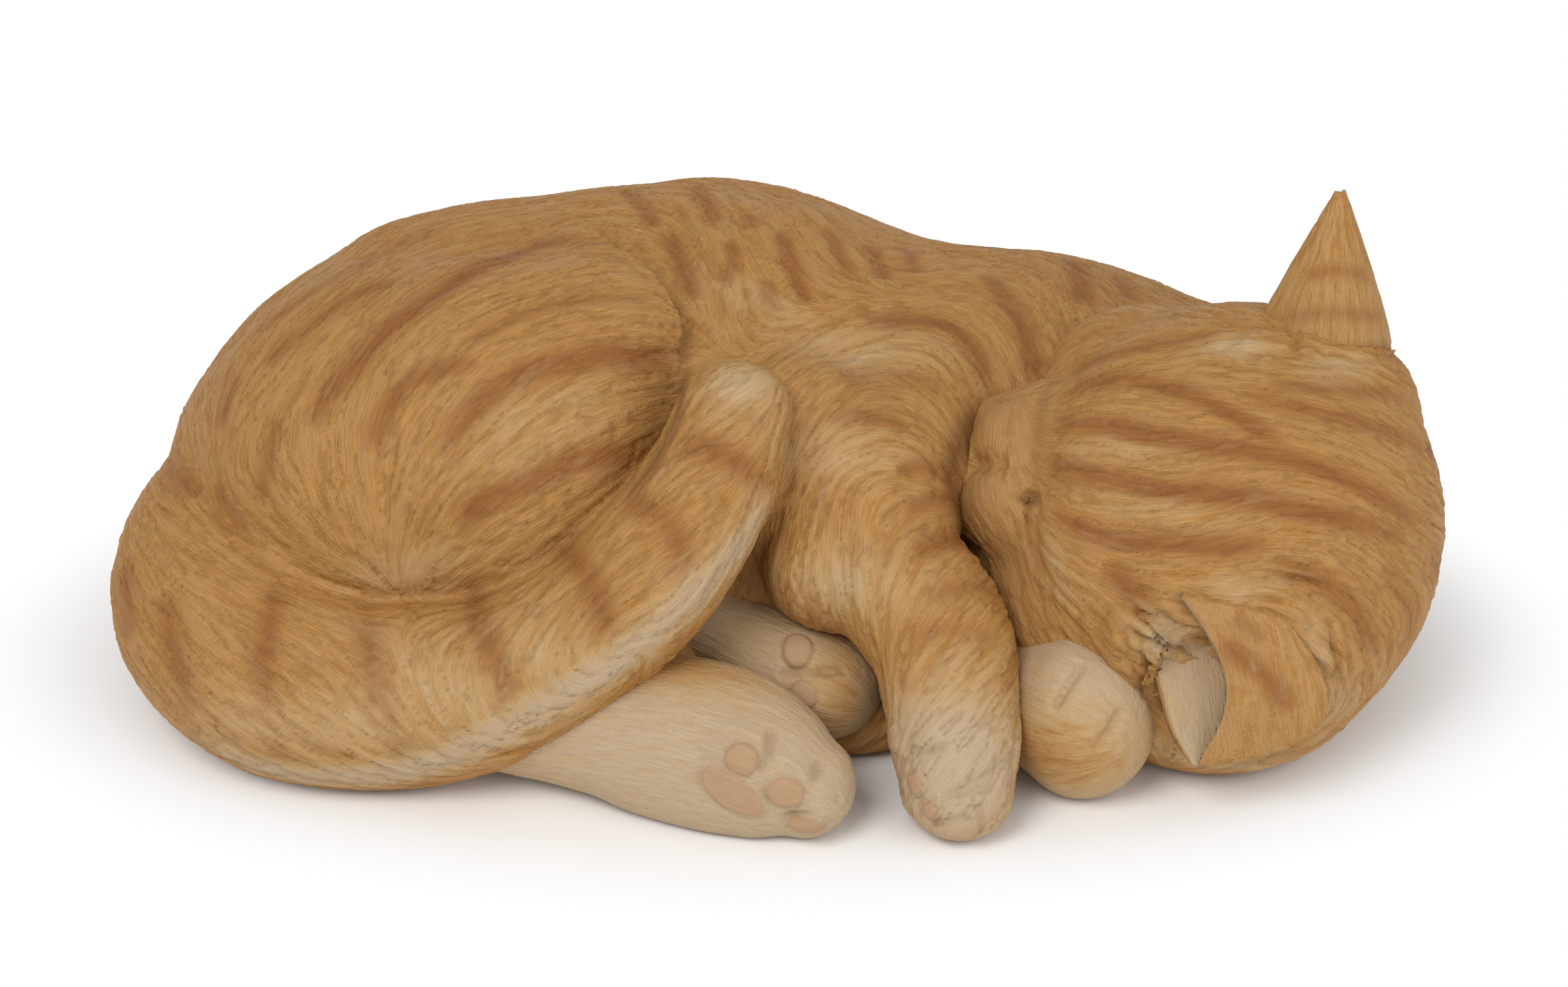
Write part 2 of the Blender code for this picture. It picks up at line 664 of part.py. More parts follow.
def centre_on_floor(objects):
    """Moves the figure so that the middle of its extent stands over the origin."""
    points = np.array([vertex.co[:] for obj in objects for vertex in obj.data.vertices])
    low = points.min(axis=0)
    high = points.max(axis=0)
    shift = Vector((-(low[0] + high[0]) / 2, -(low[1] + high[1]) / 2, -low[2]))
    for obj in bpy.data.objects:
        obj.data.transform(Matrix.Translation(shift))


def make_castings():
    return {
        "torso_shell": make_trunk(),
        "head_shell": make_head(),
        "tail": make_limb("tail", TAIL),
        "right_foreleg": make_limb("right_foreleg", FORELEG),
        "left_forepaw": make_limb("left_forepaw", LEFT_FORE),
        "right_hind_foot": make_limb("right_hind_foot", RIGHT_HIND, HIND_SOLE),
        "left_hind_foot": make_limb("left_hind_foot", LEFT_HIND),
        "right_ear": make_ear("right_ear", RIGHT_EAR),
        "left_ear": make_ear("left_ear", LEFT_EAR),
    }


def main():
    clear_scene()
    castings = make_castings()
    torso = castings["torso_shell"]
    head = castings["head_shell"]
    cups = [make_cup("right_ear_cup", RIGHT_EAR), make_cup("left_ear_cup", LEFT_EAR)]
    for cup in cups:
        combine(head, cup)
    body_hollow, head_hollow = hollow_castings(castings, cups)
    let_in(castings)
    join_neck(torso, head, body_hollow, head_hollow)
    trim_underside(castings)
    plate = make_base_plate(torso)
    felts = [make_felt(name, felt, castings) for name, felt in FELTS.items()]
    pieces = [*castings.values(), plate, *felts]
    for obj in castings.values():
        trim_offcuts(obj)
    for obj in pieces:
        paint(obj)
    centre_on_floor(pieces)


if __name__ == "__main__":
    main()
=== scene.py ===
"""The looks of the sleeping cat figurine: carved fur, paint and the studio it stands in.

Shapes are worked out in millimetres in the sculptor's frame, which is the CAD part's own before it was
centred, and move to the row frame in metres when a piece is finished. Where the photograph shows a
stripe, a crease or the lie of the fur, it is a line of pixels that is cast from the photograph's camera
onto the form. The far side follows lines that are given in millimetres.
"""

import math
from collections import namedtuple

import bmesh
import bpy
import numpy as np
from mathutils import Matrix, Vector
from mathutils.bvhtree import BVHTree


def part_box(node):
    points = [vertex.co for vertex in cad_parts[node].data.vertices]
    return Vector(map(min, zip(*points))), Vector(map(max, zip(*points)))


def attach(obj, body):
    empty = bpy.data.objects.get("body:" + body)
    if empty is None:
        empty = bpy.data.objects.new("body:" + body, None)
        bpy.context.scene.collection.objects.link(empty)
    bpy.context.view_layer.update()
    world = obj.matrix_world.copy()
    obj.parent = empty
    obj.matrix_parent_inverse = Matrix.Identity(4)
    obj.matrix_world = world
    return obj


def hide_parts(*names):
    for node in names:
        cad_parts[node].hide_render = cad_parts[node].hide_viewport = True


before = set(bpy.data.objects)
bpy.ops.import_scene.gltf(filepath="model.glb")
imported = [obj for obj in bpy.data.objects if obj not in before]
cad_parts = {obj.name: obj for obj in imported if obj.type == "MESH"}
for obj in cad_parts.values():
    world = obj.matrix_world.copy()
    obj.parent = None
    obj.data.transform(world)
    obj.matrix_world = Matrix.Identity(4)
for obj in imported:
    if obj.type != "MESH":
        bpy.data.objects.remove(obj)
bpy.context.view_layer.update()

MM = 0.001

# The base plate's centre in the sculptor's frame, which says where that frame lies
PLATE_CENTRE = np.array([-22.0, 26.0, 0.0])
PLATE_LOW, PLATE_HIGH = (np.array(corner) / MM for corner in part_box("base_plate"))
SHIFT = (PLATE_LOW + PLATE_HIGH) / 2 - PLATE_CENTRE
SHIFT[2] = 0.0
UNDERSIDE = PLATE_LOW[2]

# The photograph's camera
PHOTO = (2408, 1515)
LENS = 100.0
SENSOR = 36.0
DISTANCE = 1030.0
ELEVATION = math.radians(30)
AIM = np.array([0.0, -4.0, 44.0])
BACK = np.array([0.0, -math.cos(ELEVATION), math.sin(ELEVATION)])
UP = np.array([0.0, math.sin(ELEVATION), math.cos(ELEVATION)])
CAMERA = AIM + BACK * DISTANCE
FOCUS = LENS / SENSOR * PHOTO[0]


def sight(u, v):
    """The direction from the camera through a pixel of the photograph."""
    line = np.array([1.0, 0.0, 0.0]) * (u - PHOTO[0] / 2) / FOCUS - UP * (v - PHOTO[1] / 2) / FOCUS - BACK
    return line / np.linalg.norm(line)


# Masses of clay: centre and half axes
Mass = namedtuple("Mass", "centre radii")
TRUNK = (
    Mass((-94, 10, 42), (53, 54, 46)),
    Mass((-62, 26, 46), (66, 58, 54)),
    Mass((-88, -2, 54), (50, 48, 46)),
    Mass((-16, 30, 50), (60, 56, 54.5)),
    Mass((-40, 34, 66), (46, 36, 36)),
    Mass((40, 26, 46), (56, 52, 41)),
    Mass((58, 34, 52), (38, 36, 33)),
    Mass((-34, 22, 20), (110, 62, 26)),
    Mass((62, 22, 20), (62, 50, 26)),
    Mass((-10, -6, 34), (60, 34, 42)),
    Mass((-40, -20, 18), (62, 34, 22)),
    Mass((-66, -12, 61), (47, 42, 46)),
    Mass((-50, -10, 76), (29, 28, 30)),
    Mass((86, 26, 40), (42, 44, 35)),
)
SPINE = (
    (-98, 16, 43, 53, 46),
    (-70, 21, 46, 62, 51),
    (-35, 26, 49, 61.5, 53.5),
    (0, 28, 48, 59, 52),
    (35, 29, 45, 56, 40.5),
    (70, 30, 43, 53, 38),
    (96, 30, 39, 43, 33),
)
UPPER_ARM = (
    (30, 4, 64, 22, 22),
    (26, -14, 62, 22, 21),
    (20, -29, 57, 21, 20),
    (16, -39, 50, 21, 18),
)
FORELEG = (
    (16, -36, 52, 18, 16),
    (26, -47, 46, 18, 16),
    (35, -56, 37, 17, 16),
    (38, -65, 26, 15.5, 15),
    (39, -74, 16, 14.5, 14),
    (40, -80, 10, 12, 11),
)
TAIL = (
    (-112, 14, 36, 26, 26),
    (-128, -8, 33, 26.5, 26.5),
    (-130, -31, 28, 26, 26),
    (-116, -48, 22, 24, 24),
    (-92, -53, 19.5, 22.5, 22.5),
    (-68, -56, 25, 20.5, 20.5),
    (-46, -57, 38, 18, 18),
    (-29, -55, 55, 17, 17),
    (-17, -47, 71, 15.5, 14.5),
    (-11, -38, 84, 13.5, 12.5),
)
RIGHT_HIND = (
    (-70, -56, 13, 10, 10),
    (-50, -60, 14, 13, 12),
    (-34, -64, 16, 18, 13),
    (-14, -70, 15, 19.5, 14),
    (-1, -75, 12, 16.5, 13),
    (6, -78, 10, 12, 10),
)
LEFT_HIND = (
    (-20, -36, 28, 11, 11),
    (-5, -42, 24, 13, 12),
    (10, -48, 19, 13.5, 13),
)
LEFT_FORE = (
    (44, -30, 17, 14, 14),
    (56, -46, 17, 15.5, 15.5),
    (68, -60, 18.5, 17.5, 20.5),
)

# The head's own axes: n towards the nose, r towards the right ear, c towards the crown
HEAD_CENTRE = np.array([103.5, -28.5, 49.0])
HEAD_NOSE = Vector((-0.955, 0.130, 0.270)).normalized()
HEAD_CROWN = Vector((0.071, -0.677, 0.728)).normalized()
HEAD_RIGHT = HEAD_NOSE.cross(HEAD_CROWN).normalized()
HEAD_AXES = np.array([HEAD_NOSE, HEAD_RIGHT, HEAD_RIGHT.cross(HEAD_NOSE)]).T
HEAD_MASSES = (
    Mass((0, 0, 0), (49, 54, 40)),
    Mass((20, 25, -10), (32, 26, 26)),
    Mass((20, -25, -10), (32, 26, 26)),
    Mass((26, 0, 12), (22, 38, 20)),
    Mass((45, 0, -2), (21, 17, 14)),
    Mass((56.5, 6, -5), (11.5, 10, 11.5)),
    Mass((57.5, -9.5, -5), (12, 10, 11.5)),
    Mass((38, 14, -18), (16, 14, 12)),
    Mass((42, -17, -18), (16, 14, 12)),
    Mass((52, 0, -23), (12, 11, 9)),
)
NAPE = Mass((105, -8, 42), (45, 50, 44))
RUFF = Mass((100, -37, 20), (37, 34, 25))
POLL = Mass((125, -12, 72), (23, 22, 21))
FORELOCK = Mass((78.5, -64.0, 44.0), (8, 8, 10))
ARM = Mass((18, -30, 56), (24, 22, 27))
CHEST = Mass((2, -24, 62), (26, 20, 28))
ELBOW = Mass((12, -43, 48), (17.5, 14, 16.5))
BELLY = Mass((16, -36, 8), (22, 20, 12))


def press_mass(bm, mass, origin=(0, 0, 0), axes=np.eye(3)):
    centre = np.array(origin) + axes @ np.array(mass.centre, float)
    stretch = axes @ np.diag(np.array(mass.radii, float))
    shape = Matrix.Translation(Vector(centre)) @ Matrix(stretch.tolist()).to_4x4()
    bmesh.ops.create_icosphere(bm, subdivisions=5, radius=1.0, matrix=shape)


def spline(rows, steps):
    """Points on one smooth curve through the rows."""
    rows = [np.array(row, float) for row in rows]
    rows = [2 * rows[0] - rows[1]] + rows + [2 * rows[-1] - rows[-2]]
    path = []
    for before, start, end, after in zip(rows, rows[1:], rows[2:], rows[3:]):
        for t in np.arange(steps) / steps:
            bend = (2 * before - 5 * start + 4 * end - after) * t * t
            twist = (3 * start - before - 3 * end + after) * t**3
            path.append(0.5 * (2 * start + (end - before) * t + bend + twist))
    path.append(rows[-2])
    return np.array(path)


def press_limb(bm, stations, lean, sides=48, cap_rings=8):
    """Adds a tube through the stations, rounded at both ends."""
    path = spline(stations, 10)
    points = path[:, :3]
    tangents = np.gradient(points, axis=0)
    tangents /= np.linalg.norm(tangents, axis=1)[:, None]
    rows = [(point, tangent, size) for point, tangent, size in zip(points, tangents, path[:, 3:5])]
    for end, sign in ((0, -1), (-1, 1)):
        point, tangent, size = rows[end]
        for angle in np.linspace(0, math.radians(88), cap_rings + 1)[1:]:
            ring = (point + tangent * size.min() * math.sin(angle) * sign, tangent, size * math.cos(angle))
            rows.insert(0 if sign < 0 else len(rows), ring)
    angles = np.linspace(0, 2 * math.pi, sides, endpoint=False)
    loops = []
    for centre, tangent, (width, height) in rows:
        side = np.cross(tangent, lean)
        side /= np.linalg.norm(side)
        upright = np.cross(side, tangent)
        ring = centre + np.outer(np.cos(angles) * width, side) + np.outer(np.sin(angles) * height, upright)
        loops.append([bm.verts.new(corner) for corner in ring])
    for low, high in zip(loops, loops[1:]):
        for index in range(sides):
            following = (index + 1) % sides
            bm.faces.new((low[index], low[following], high[following], high[index]))
    bm.faces.new(list(reversed(loops[0])))
    bm.faces.new(loops[-1])


def put_in_scene(name, data):
    obj = bpy.data.objects.new(name, data)
    bpy.context.scene.collection.objects.link(obj)
    return obj


def new_object(name, bm):
    bmesh.ops.recalc_face_normals(bm, faces=bm.faces)
    mesh = bpy.data.meshes.new(name)
    bm.to_mesh(mesh)
    bm.free()
    return put_in_scene(name, mesh)


def apply_modifiers(obj):
    depsgraph = bpy.context.evaluated_depsgraph_get()
    mesh = bpy.data.meshes.new_from_object(obj.evaluated_get(depsgraph))
    old = obj.data
    obj.modifiers.clear()
    obj.data = mesh
    bpy.data.meshes.remove(old)


def reskin(obj, grain, relax):
    """Fuses what overlaps into one skin of even grain and relaxes it."""
    remesh = obj.modifiers.new("fuse", "REMESH")
    remesh.mode = "VOXEL"
    remesh.voxel_size = grain
    smooth = obj.modifiers.new("relax", "SMOOTH")
    smooth.factor = 0.5
    smooth.iterations = relax
    apply_modifiers(obj)
    return obj


def merge(name, objects):
    bm = bmesh.new()
    for obj in objects:
        bm.from_mesh(obj.data)
        bpy.data.objects.remove(obj, do_unlink=True)
    return new_object(name, bm)


def cut(obj, tool):
    boolean = obj.modifiers.new("cut", "BOOLEAN")
    boolean.operation = "DIFFERENCE"
    boolean.solver = "EXACT"
    boolean.object = tool
    apply_modifiers(obj)
    bpy.data.objects.remove(tool, do_unlink=True)


# What is worked out at each point: stripes, cream (with one painted highlight), bare pads, grey muzzle hair,
# painted shade in creases and hollows, deep tufts
TINTS = ("stripe", "pale", "pad", "grey", "painted_shade", "tuft")


class Skin:
    """A form as arrays in millimetres, with what has been worked out at each of its points."""

    def __init__(self, obj):
        self.obj = obj
        mesh = obj.data
        self.points = read(mesh.vertices, "co", 3)
        self.edges = read(mesh.edges, "vertices", 2, np.int32)
        self.faces = [tuple(face.vertices) for face in mesh.polygons]
        self.valence = np.bincount(self.edges.ravel(), minlength=len(self.points))
        self.values = {name: np.zeros(len(self.points)) for name in TINTS}
        self.turn_normals()
        self.tree = BVHTree.FromPolygons(self.points.tolist(), self.faces)

    def turn_normals(self):
        self.obj.data.vertices.foreach_set("co", self.points.ravel())
        self.obj.data.update()
        self.normals = read(self.obj.data.vertices, "normal", 3)

    def average(self, values):
        """The mean of each point's neighbours."""
        a, b = self.edges.T
        count = len(self.points)
        rows = values.reshape(count, -1).T
        sums = [np.bincount(a, row[b], count) + np.bincount(b, row[a], count) for row in rows]
        return (np.stack(sums, axis=1) / self.valence[:, None]).reshape(values.shape)

    def relax(self, mask, times):
        """Smooths the form where the mask says."""
        for _ in range(times):
            self.points += (self.average(self.points) - self.points) * (0.5 * mask)[:, None]
        self.turn_normals()

    def push(self, heights):
        """Moves each point along its normal, and leaves the flat underside where it is."""
        free = np.clip((self.points[:, 2] - UNDERSIDE) / 3.0, 0, 1)
        self.points += self.normals * (heights * free)[:, None]
        self.turn_normals()

    def cast(self, pixels, pitch=4.0):
        """A line of pixels, cast onto the form: points and the normals there."""
        line = resample(spline([(u, v, 0) for u, v in pixels], 12), pitch)
        found = []
        for u, v, _ in line:
            hit, normal, _, _ = self.tree.ray_cast(Vector(CAMERA), Vector(sight(u, v)))
            if hit is not None:
                found.append((hit, normal))
        return np.array([hit for hit, _ in found]), np.array([normal for _, normal in found])

    def lay(self, places, pitch=1.5):
        """A line given in millimetres, laid onto the nearest part of the form."""
        line = resample(spline(places, 12), pitch)
        found = [self.tree.find_nearest(Vector(place)) for place in line]
        return np.array([hit for hit, _, _, _ in found]), np.array([normal for _, normal, _, _ in found])

    def step(self, line, rise, reach, drop, moat, tapers):
        """A rounded edge along a line: the form stands up on its left side and sinks on its right."""
        places, normals = line
        travel = np.gradient(places, axis=0)
        travel /= np.linalg.norm(travel, axis=1)[:, None]
        left = np.cross(normals, travel)
        close, nearest, gap, fade = self.beside(line, max(reach, moat) * 2.5, tapers)
        side = np.einsum("ij,ij->i", self.points[close] - places[nearest], left[nearest])
        heights = np.zeros(len(self.points))
        up = rise * np.exp(-((gap / reach) ** 2))
        down = -drop * np.exp(-((gap / moat) ** 2))
        blend = np.clip(0.5 + side / 2.4, 0, 1)
        heights[close] = (down + (up - down) * blend) * fade
        self.push(heights)

    def beside(self, line, reach, tapers):
        """The points within reach of a line, the line's nearest point, the gap, and the fade at its ends."""
        places, normals = line
        inside = np.all((self.points > places.min(0) - reach) & (self.points < places.max(0) + reach), axis=1)
        close = np.flatnonzero(inside)
        gaps = np.linalg.norm(self.points[close, None] - places[None], axis=2)
        nearest = gaps.argmin(axis=1)
        gap = gaps[np.arange(len(close)), nearest]
        share = nearest / (len(places) - 1)
        fade = np.clip(share / max(tapers[0], 1e-6), 0, 1) * np.clip((1 - share) / max(tapers[1], 1e-6), 0, 1)
        facing = np.einsum("ij,ij->i", self.normals[close], normals[nearest]) > 0.1
        return close, nearest, gap, np.sqrt(fade) * facing

    def groove(self, line, depth, width, tapers=(0.25, 0.25)):
        self.push(-depth * self.near(line, width, tapers))

    def hit(self, pixel):
        """Where a pixel's line of sight meets the form, or else comes nearest to it, and the normal there."""
        line = sight(*pixel)
        place, normal, _, _ = self.tree.ray_cast(Vector(CAMERA), Vector(line))
        if place is None:
            offsets = self.points - CAMERA
            closest = np.linalg.norm(offsets - np.outer(offsets @ line, line), axis=1).argmin()
            return self.points[closest], self.normals[closest]
        return np.array(place), np.array(normal)

    def around(self, pixel, radius):
        """A soft round mask about the place that a pixel shows."""
        return np.exp(-np.sum((self.points - self.hit(pixel)[0]) ** 2, axis=1) / radius**2)

    def tint(self, name, weight):
        self.values[name] = np.maximum(self.values[name], weight)

    def spot(self, pixel, radii, turn=0.0):
        """How far each point is from an oval cast onto the form, as a share of its radii in millimetres."""
        place, normal = self.hit(pixel)
        across = np.cross(UP, normal)
        across /= np.linalg.norm(across)
        upright = np.cross(normal, across)
        offset = self.points - place
        x = offset @ across
        y = offset @ upright
        cos, sin = math.cos(math.radians(turn)), math.sin(math.radians(turn))
        share = np.hypot((x * cos + y * sin) / radii[0], (y * cos - x * sin) / radii[1])
        share = np.maximum(share, np.abs(offset @ normal) / max(6, *radii))
        return np.where(self.normals @ normal > 0, share, 9.0)

    def oval(self, pixel, radii, turn=0.0):
        """A soft oval mask about the place that a pixel shows."""
        return np.exp(-(self.spot(pixel, radii, turn) ** 2))

    def mound(self, pixel, radii, height, turn=0.0):
        self.push(height * self.oval(pixel, radii, turn))

    def pad(self, pixel, radii, height=0.8, turn=0.0):
        """A smooth raised pad with a crisp rim."""
        share = self.spot(pixel, radii, turn)
        top = np.clip((1.0 - share) / 0.16, 0, 1)
        rim = np.exp(-(((share - 1.1) / 0.12) ** 2))
        self.push(height * (3 - 2 * top) * top * top - 0.35 * rim)
        self.tint("pad", top)

    def near(self, line, width, tapers=(0.15, 0.15)):
        """How strongly each point feels a line: 1 on it, fading over the width and towards its ends."""
        weight = np.zeros(len(self.points))
        if len(line[0]) > 1:
            close, _, gap, fade = self.beside(line, 2.5 * width, tapers)
            weight[close] = np.exp(-((gap / width) ** 2)) * fade
        return weight


def read(items, name, width, kind=np.float64):
    values = np.empty(len(items) * width, np.int32 if kind is np.int32 else np.float32)
    items.foreach_get(name, values)
    return values.astype(kind).reshape(-1, width)


def resample(line, pitch):
    """The same line with its points an even distance apart."""
    lengths = np.linalg.norm(np.diff(line, axis=0), axis=1)
    along = np.concatenate([[0], np.cumsum(lengths)])
    stops = np.linspace(0, along[-1], max(2, int(along[-1] / pitch) + 1))
    return np.stack([np.interp(stops, along, column) for column in line.T], axis=1)


def scatter(cells, seed):
    """A value from -1 to 1 for each cell of a lattice, the same each time."""
    mixed = np.full(cells.shape[1:], seed * 974711, np.int64)
    for cell, prime in zip(cells, (374761393, 668265263, 1274126177, 2147483587)):
        mixed = (mixed ^ (cell * prime)) * 1103515245
        mixed ^= (mixed >> 15) & 0xFFFFFFFF
    return (mixed & 0xFFFF) / 0x8000 - 1


def noise(places, seed):
    """Smooth noise from about -1 to 1, for rows of any number of coordinates."""
    places = places.T
    low = np.floor(places).astype(np.int64)
    share = places - low
    share = share * share * share * (share * (share * 6 - 15) + 10)
    total = np.zeros(places.shape[1])
    for corner in np.ndindex(*(2,) * len(places)):
        side = np.array(corner)[:, None]
        weight = np.prod(np.where(side, share, 1 - share), axis=0)
        total += weight * scatter(low + side, seed)
    return total * 1.6


class Lie:
    """The way that the fur lies, on a lattice in millimetres about a skin."""
    CELL = 2.5

    def __init__(self, points, ways):
        self.low = points.min(0) - 4 * self.CELL
        count = np.ceil((points.max(0) - self.low) / self.CELL).astype(int) + 5
        nodes = np.rint((points - self.low) / self.CELL).astype(int)
        field = np.zeros((*count, 3))
        np.add.at(field, tuple(nodes.T), ways)
        for _ in range(3):
            around = [np.roll(field, step, axis) for axis in range(3) for step in (-1, 1)]
            field = field + 0.7 * sum(around)
        self.field = field / np.maximum(np.linalg.norm(field, axis=3, keepdims=True), 1e-9)

    def at(self, places):
        spots = np.clip((places - self.low) / self.CELL, 0, np.array(self.field.shape[:3]) - 1.001)
        nodes = spots.astype(int)
        share = spots - nodes
        total = np.zeros_like(places)
        for corner in np.ndindex(2, 2, 2):
            weight = np.prod(np.where(corner, share, 1 - share), axis=1)
            total += weight[:, None] * self.field[tuple((nodes + corner).T)]
        return total / np.maximum(np.linalg.norm(total, axis=1), 1e-6)[:, None]

    def follow(self, places, pace, steps):
        """The places met on the way along the fur, to both sides of each place."""
        met = [places]
        for sign in (-1, 1):
            place = places
            for _ in range(steps):
                place = place + sign * pace * self.at(place)
                met.append(place)
        return met


def lie_of(points, normals, guides):
    """The way of the fur at each point, from lines that run from root to tip."""
    places = np.concatenate([line[:-1] for line in guides])
    ways = np.concatenate([np.diff(line, axis=0) for line in guides])
    ways /= np.maximum(np.linalg.norm(ways, axis=1), 1e-6)[:, None]
    lie = np.zeros_like(points)
    for start in range(0, len(points), 4000):
        part = slice(start, start + 4000)
        gaps = np.linalg.norm(points[part, None] - places[None], axis=2)
        lie[part] = (1 / (gaps**2 + 9) ** 1.8) @ ways
    lie -= normals * np.einsum("ij,ij->i", lie, normals)[:, None]
    return lie / np.maximum(np.linalg.norm(lie, axis=1), 1e-12)[:, None]


def hair(met, width, seed):
    """Noise averaged along the fur, which makes strands of the given width."""
    total = sum(noise(places / width, seed) for places in met)
    return total / total.std()


# Grain of the finished skins
COARSE = 1.0
BODY_GRAIN = 0.85 * COARSE
HEAD_GRAIN = 0.7 * COARSE
FOOT_GRAIN = 0.6 * COARSE

# The right hind foot's sole leans back this way
HIND_SOLE = (0, -0.87, 0.50)
HEAD_FILL = Mass((44, -2, 0), (20, 24, 18))
FORE_TOES = (
    Mass((31.5, -77.0, 9.5), (5.5, 9.0, 7.0)),
    Mass((36.5, -82.5, 9.0), (5.5, 9.0, 7.2)),
    Mass((42.5, -82.5, 9.0), (5.5, 9.0, 7.2)),
    Mass((46.0, -76.0, 9.5), (5.2, 9.0, 7.0)),
)


def press(name, masses=(), limbs=(), grain=1.6, relax=2, lean=(0, 0, 1)):
    """One relaxed form from masses and limbs."""
    bm = bmesh.new()
    for mass in masses:
        press_mass(bm, mass)
    for stations in limbs:
        press_limb(bm, stations, lean)
    return reskin(new_object(name, bm), grain, relax)


def finished_skin(obj, grain, relax=3):
    skin = Skin(reskin(obj, grain, relax))
    skin.points[:, 2] = np.maximum(skin.points[:, 2], UNDERSIDE)
    skin.turn_normals()
    return skin


def make_body():
    trunk = press("trunk", (*TRUNK, ARM, CHEST, BELLY), (SPINE, UPPER_ARM), 3.0, 20)
    foreleg = press("foreleg", (*FORE_TOES, ELBOW), (FORELEG,))
    tail = press("tail", limbs=(TAIL,))
    return finished_skin(merge("body", [trunk, foreleg, tail]), BODY_GRAIN)


# Ears: where the root ends inside the head, the middle of the open cup at its base, and its tip.
# Across points from there to the near rim, and back to the middle of the cup's back. A high taper makes
# the cup full towards its tip, and the bow bends the line from base to tip.
Ear = namedtuple("Ear", "root base tip across back wall taper bow")
RIGHT_EAR = Ear(
    (122.7, -3.9, 76.0), (123.7, -3.0, 86.5), (127.0, 0.0, 121.5), (-14.9, -8.9, 2.2), (8.5, -14.1, 0.4), 2.2,
    1.1, (0, 0, 0),
)
LEFT_EAR = Ear(
    (88.0, -55.0, 54.0), (85.0, -69.3, 54.0), (93.0, -77.0, 15.5), (8.5, -4.5, 2.5), (26.0, -1.5, -5.0), 1.7,
    4.5, (6.5, 0, 0),
)
EAR_TIP = 0.08
EAR_WRAP = np.linspace(-math.radians(100), math.radians(100), 71)
EAR_MOUTH = 0.42
# The hollow that the lower ear lies in
EAR_PIT = Mass((93, -76, 35), (9.5, 8.5, 16))


def ear_sections(ear):
    """Middle and relative size of each section of an ear, from its root to its tip."""
    root, base, tip = (np.array(place, float) for place in ear[:3])
    sections = [(root + (base - root) * share, 1.0) for share in np.linspace(0, 1, 20, endpoint=False)]
    for rise in np.linspace(0, 1, 60):
        bend = np.array(ear.bow) * math.sin(math.pi * rise)
        sections.append((base + (tip - base) * rise + bend, EAR_TIP + (1 - EAR_TIP) * (1 - rise**ear.taper)))
    return sections


def ear_arc(ear, centre, size, depth):
    """Points round an ear's cup, from rim to rim, at a depth in its wall given as a share of it."""
    across, back = np.array(ear.across), np.array(ear.back)
    inset = depth * min(ear.wall, 0.5 * np.linalg.norm(across) * size)
    wide = across * (size - inset / np.linalg.norm(across))
    deep = back * (size - inset / np.linalg.norm(back))
    return centre + np.outer(np.sin(EAR_WRAP), wide) + np.outer(np.cos(EAR_WRAP), deep)


def loft(name, loops):
    bm = bmesh.new()
    rows = [[bm.verts.new(point) for point in loop] for loop in loops]
    for low, high in zip(rows, rows[1:]):
        for index in range(len(low)):
            following = (index + 1) % len(low)
            bm.faces.new((low[index], low[following], high[following], high[index]))
    bm.faces.new(list(reversed(rows[0])))
    bm.faces.new(rows[-1])
    return new_object(name, bm)


def make_ear(ear):
    """A pointed cup with an open side, let into the head at its root."""
    loops = [
        np.concatenate([ear_arc(ear, centre, size, 0), ear_arc(ear, centre, size, 1)[::-1]])
        for centre, size in ear_sections(ear)
    ]
    return Skin(loft("ear", loops))


def make_cup(ear):
    """The space in an ear and before its open side."""
    return loft("cup", [
        np.vstack([ear_arc(ear, centre, size, 0.5), centre - np.array(ear.back) * EAR_MOUTH * size])
        for centre, size in ear_sections(ear)[14::2]
    ])


def make_head():
    bm = bmesh.new()
    for mass in (*HEAD_MASSES, HEAD_FILL):
        press_mass(bm, mass, HEAD_CENTRE, HEAD_AXES)
    press_mass(bm, NAPE)
    press_mass(bm, RUFF)
    press_mass(bm, POLL)
    head = reskin(new_object("head", bm), 2.0, 8)
    cut(head, make_cup(RIGHT_EAR))
    cut(head, press("pit", (EAR_PIT,)))
    return finished_skin(merge("head", [head, press("forelock", (FORELOCK,))]), HEAD_GRAIN)


def make_foot(stations, lean):
    return finished_skin(press("foot", limbs=(stations,), lean=lean), FOOT_GRAIN)


# Edges that are sculpted into the forms, in pixels of the photograph, high side on the left
HAUNCH_EDGE = (
    (1050, 540), (1040, 505), (1020, 470), (1000, 435), (975, 415), (940, 385), (900, 345), (850, 330),
)
HAUNCH_CREASE = (
    (1052, 560), (1049, 525), (1037, 492), (1020, 462), (1002, 436), (975, 410), (942, 382), (905, 348),
)
EYE_LINE = ((1630, 920), (1610, 898), (1591, 857), (1582, 802), (1586, 764))
EYE_CORNER = (1583, 766)
EYE_SLIT = ((1579, 778), (1580, 810), (1585, 845))
MUZZLE_STOP = ((1610, 590), (1598, 640), (1592, 700), (1590, 750))
MOUTH_NOTCH = ((1490, 712), (1515, 713), (1550, 714))


def crease(skin, line, depth, width, shade=0.4):
    """A groove, darkened with painted shade."""
    place = skin.cast(line, 3.0)
    skin.groove(place, depth, width)
    skin.tint("painted_shade", shade * skin.near(place, width))


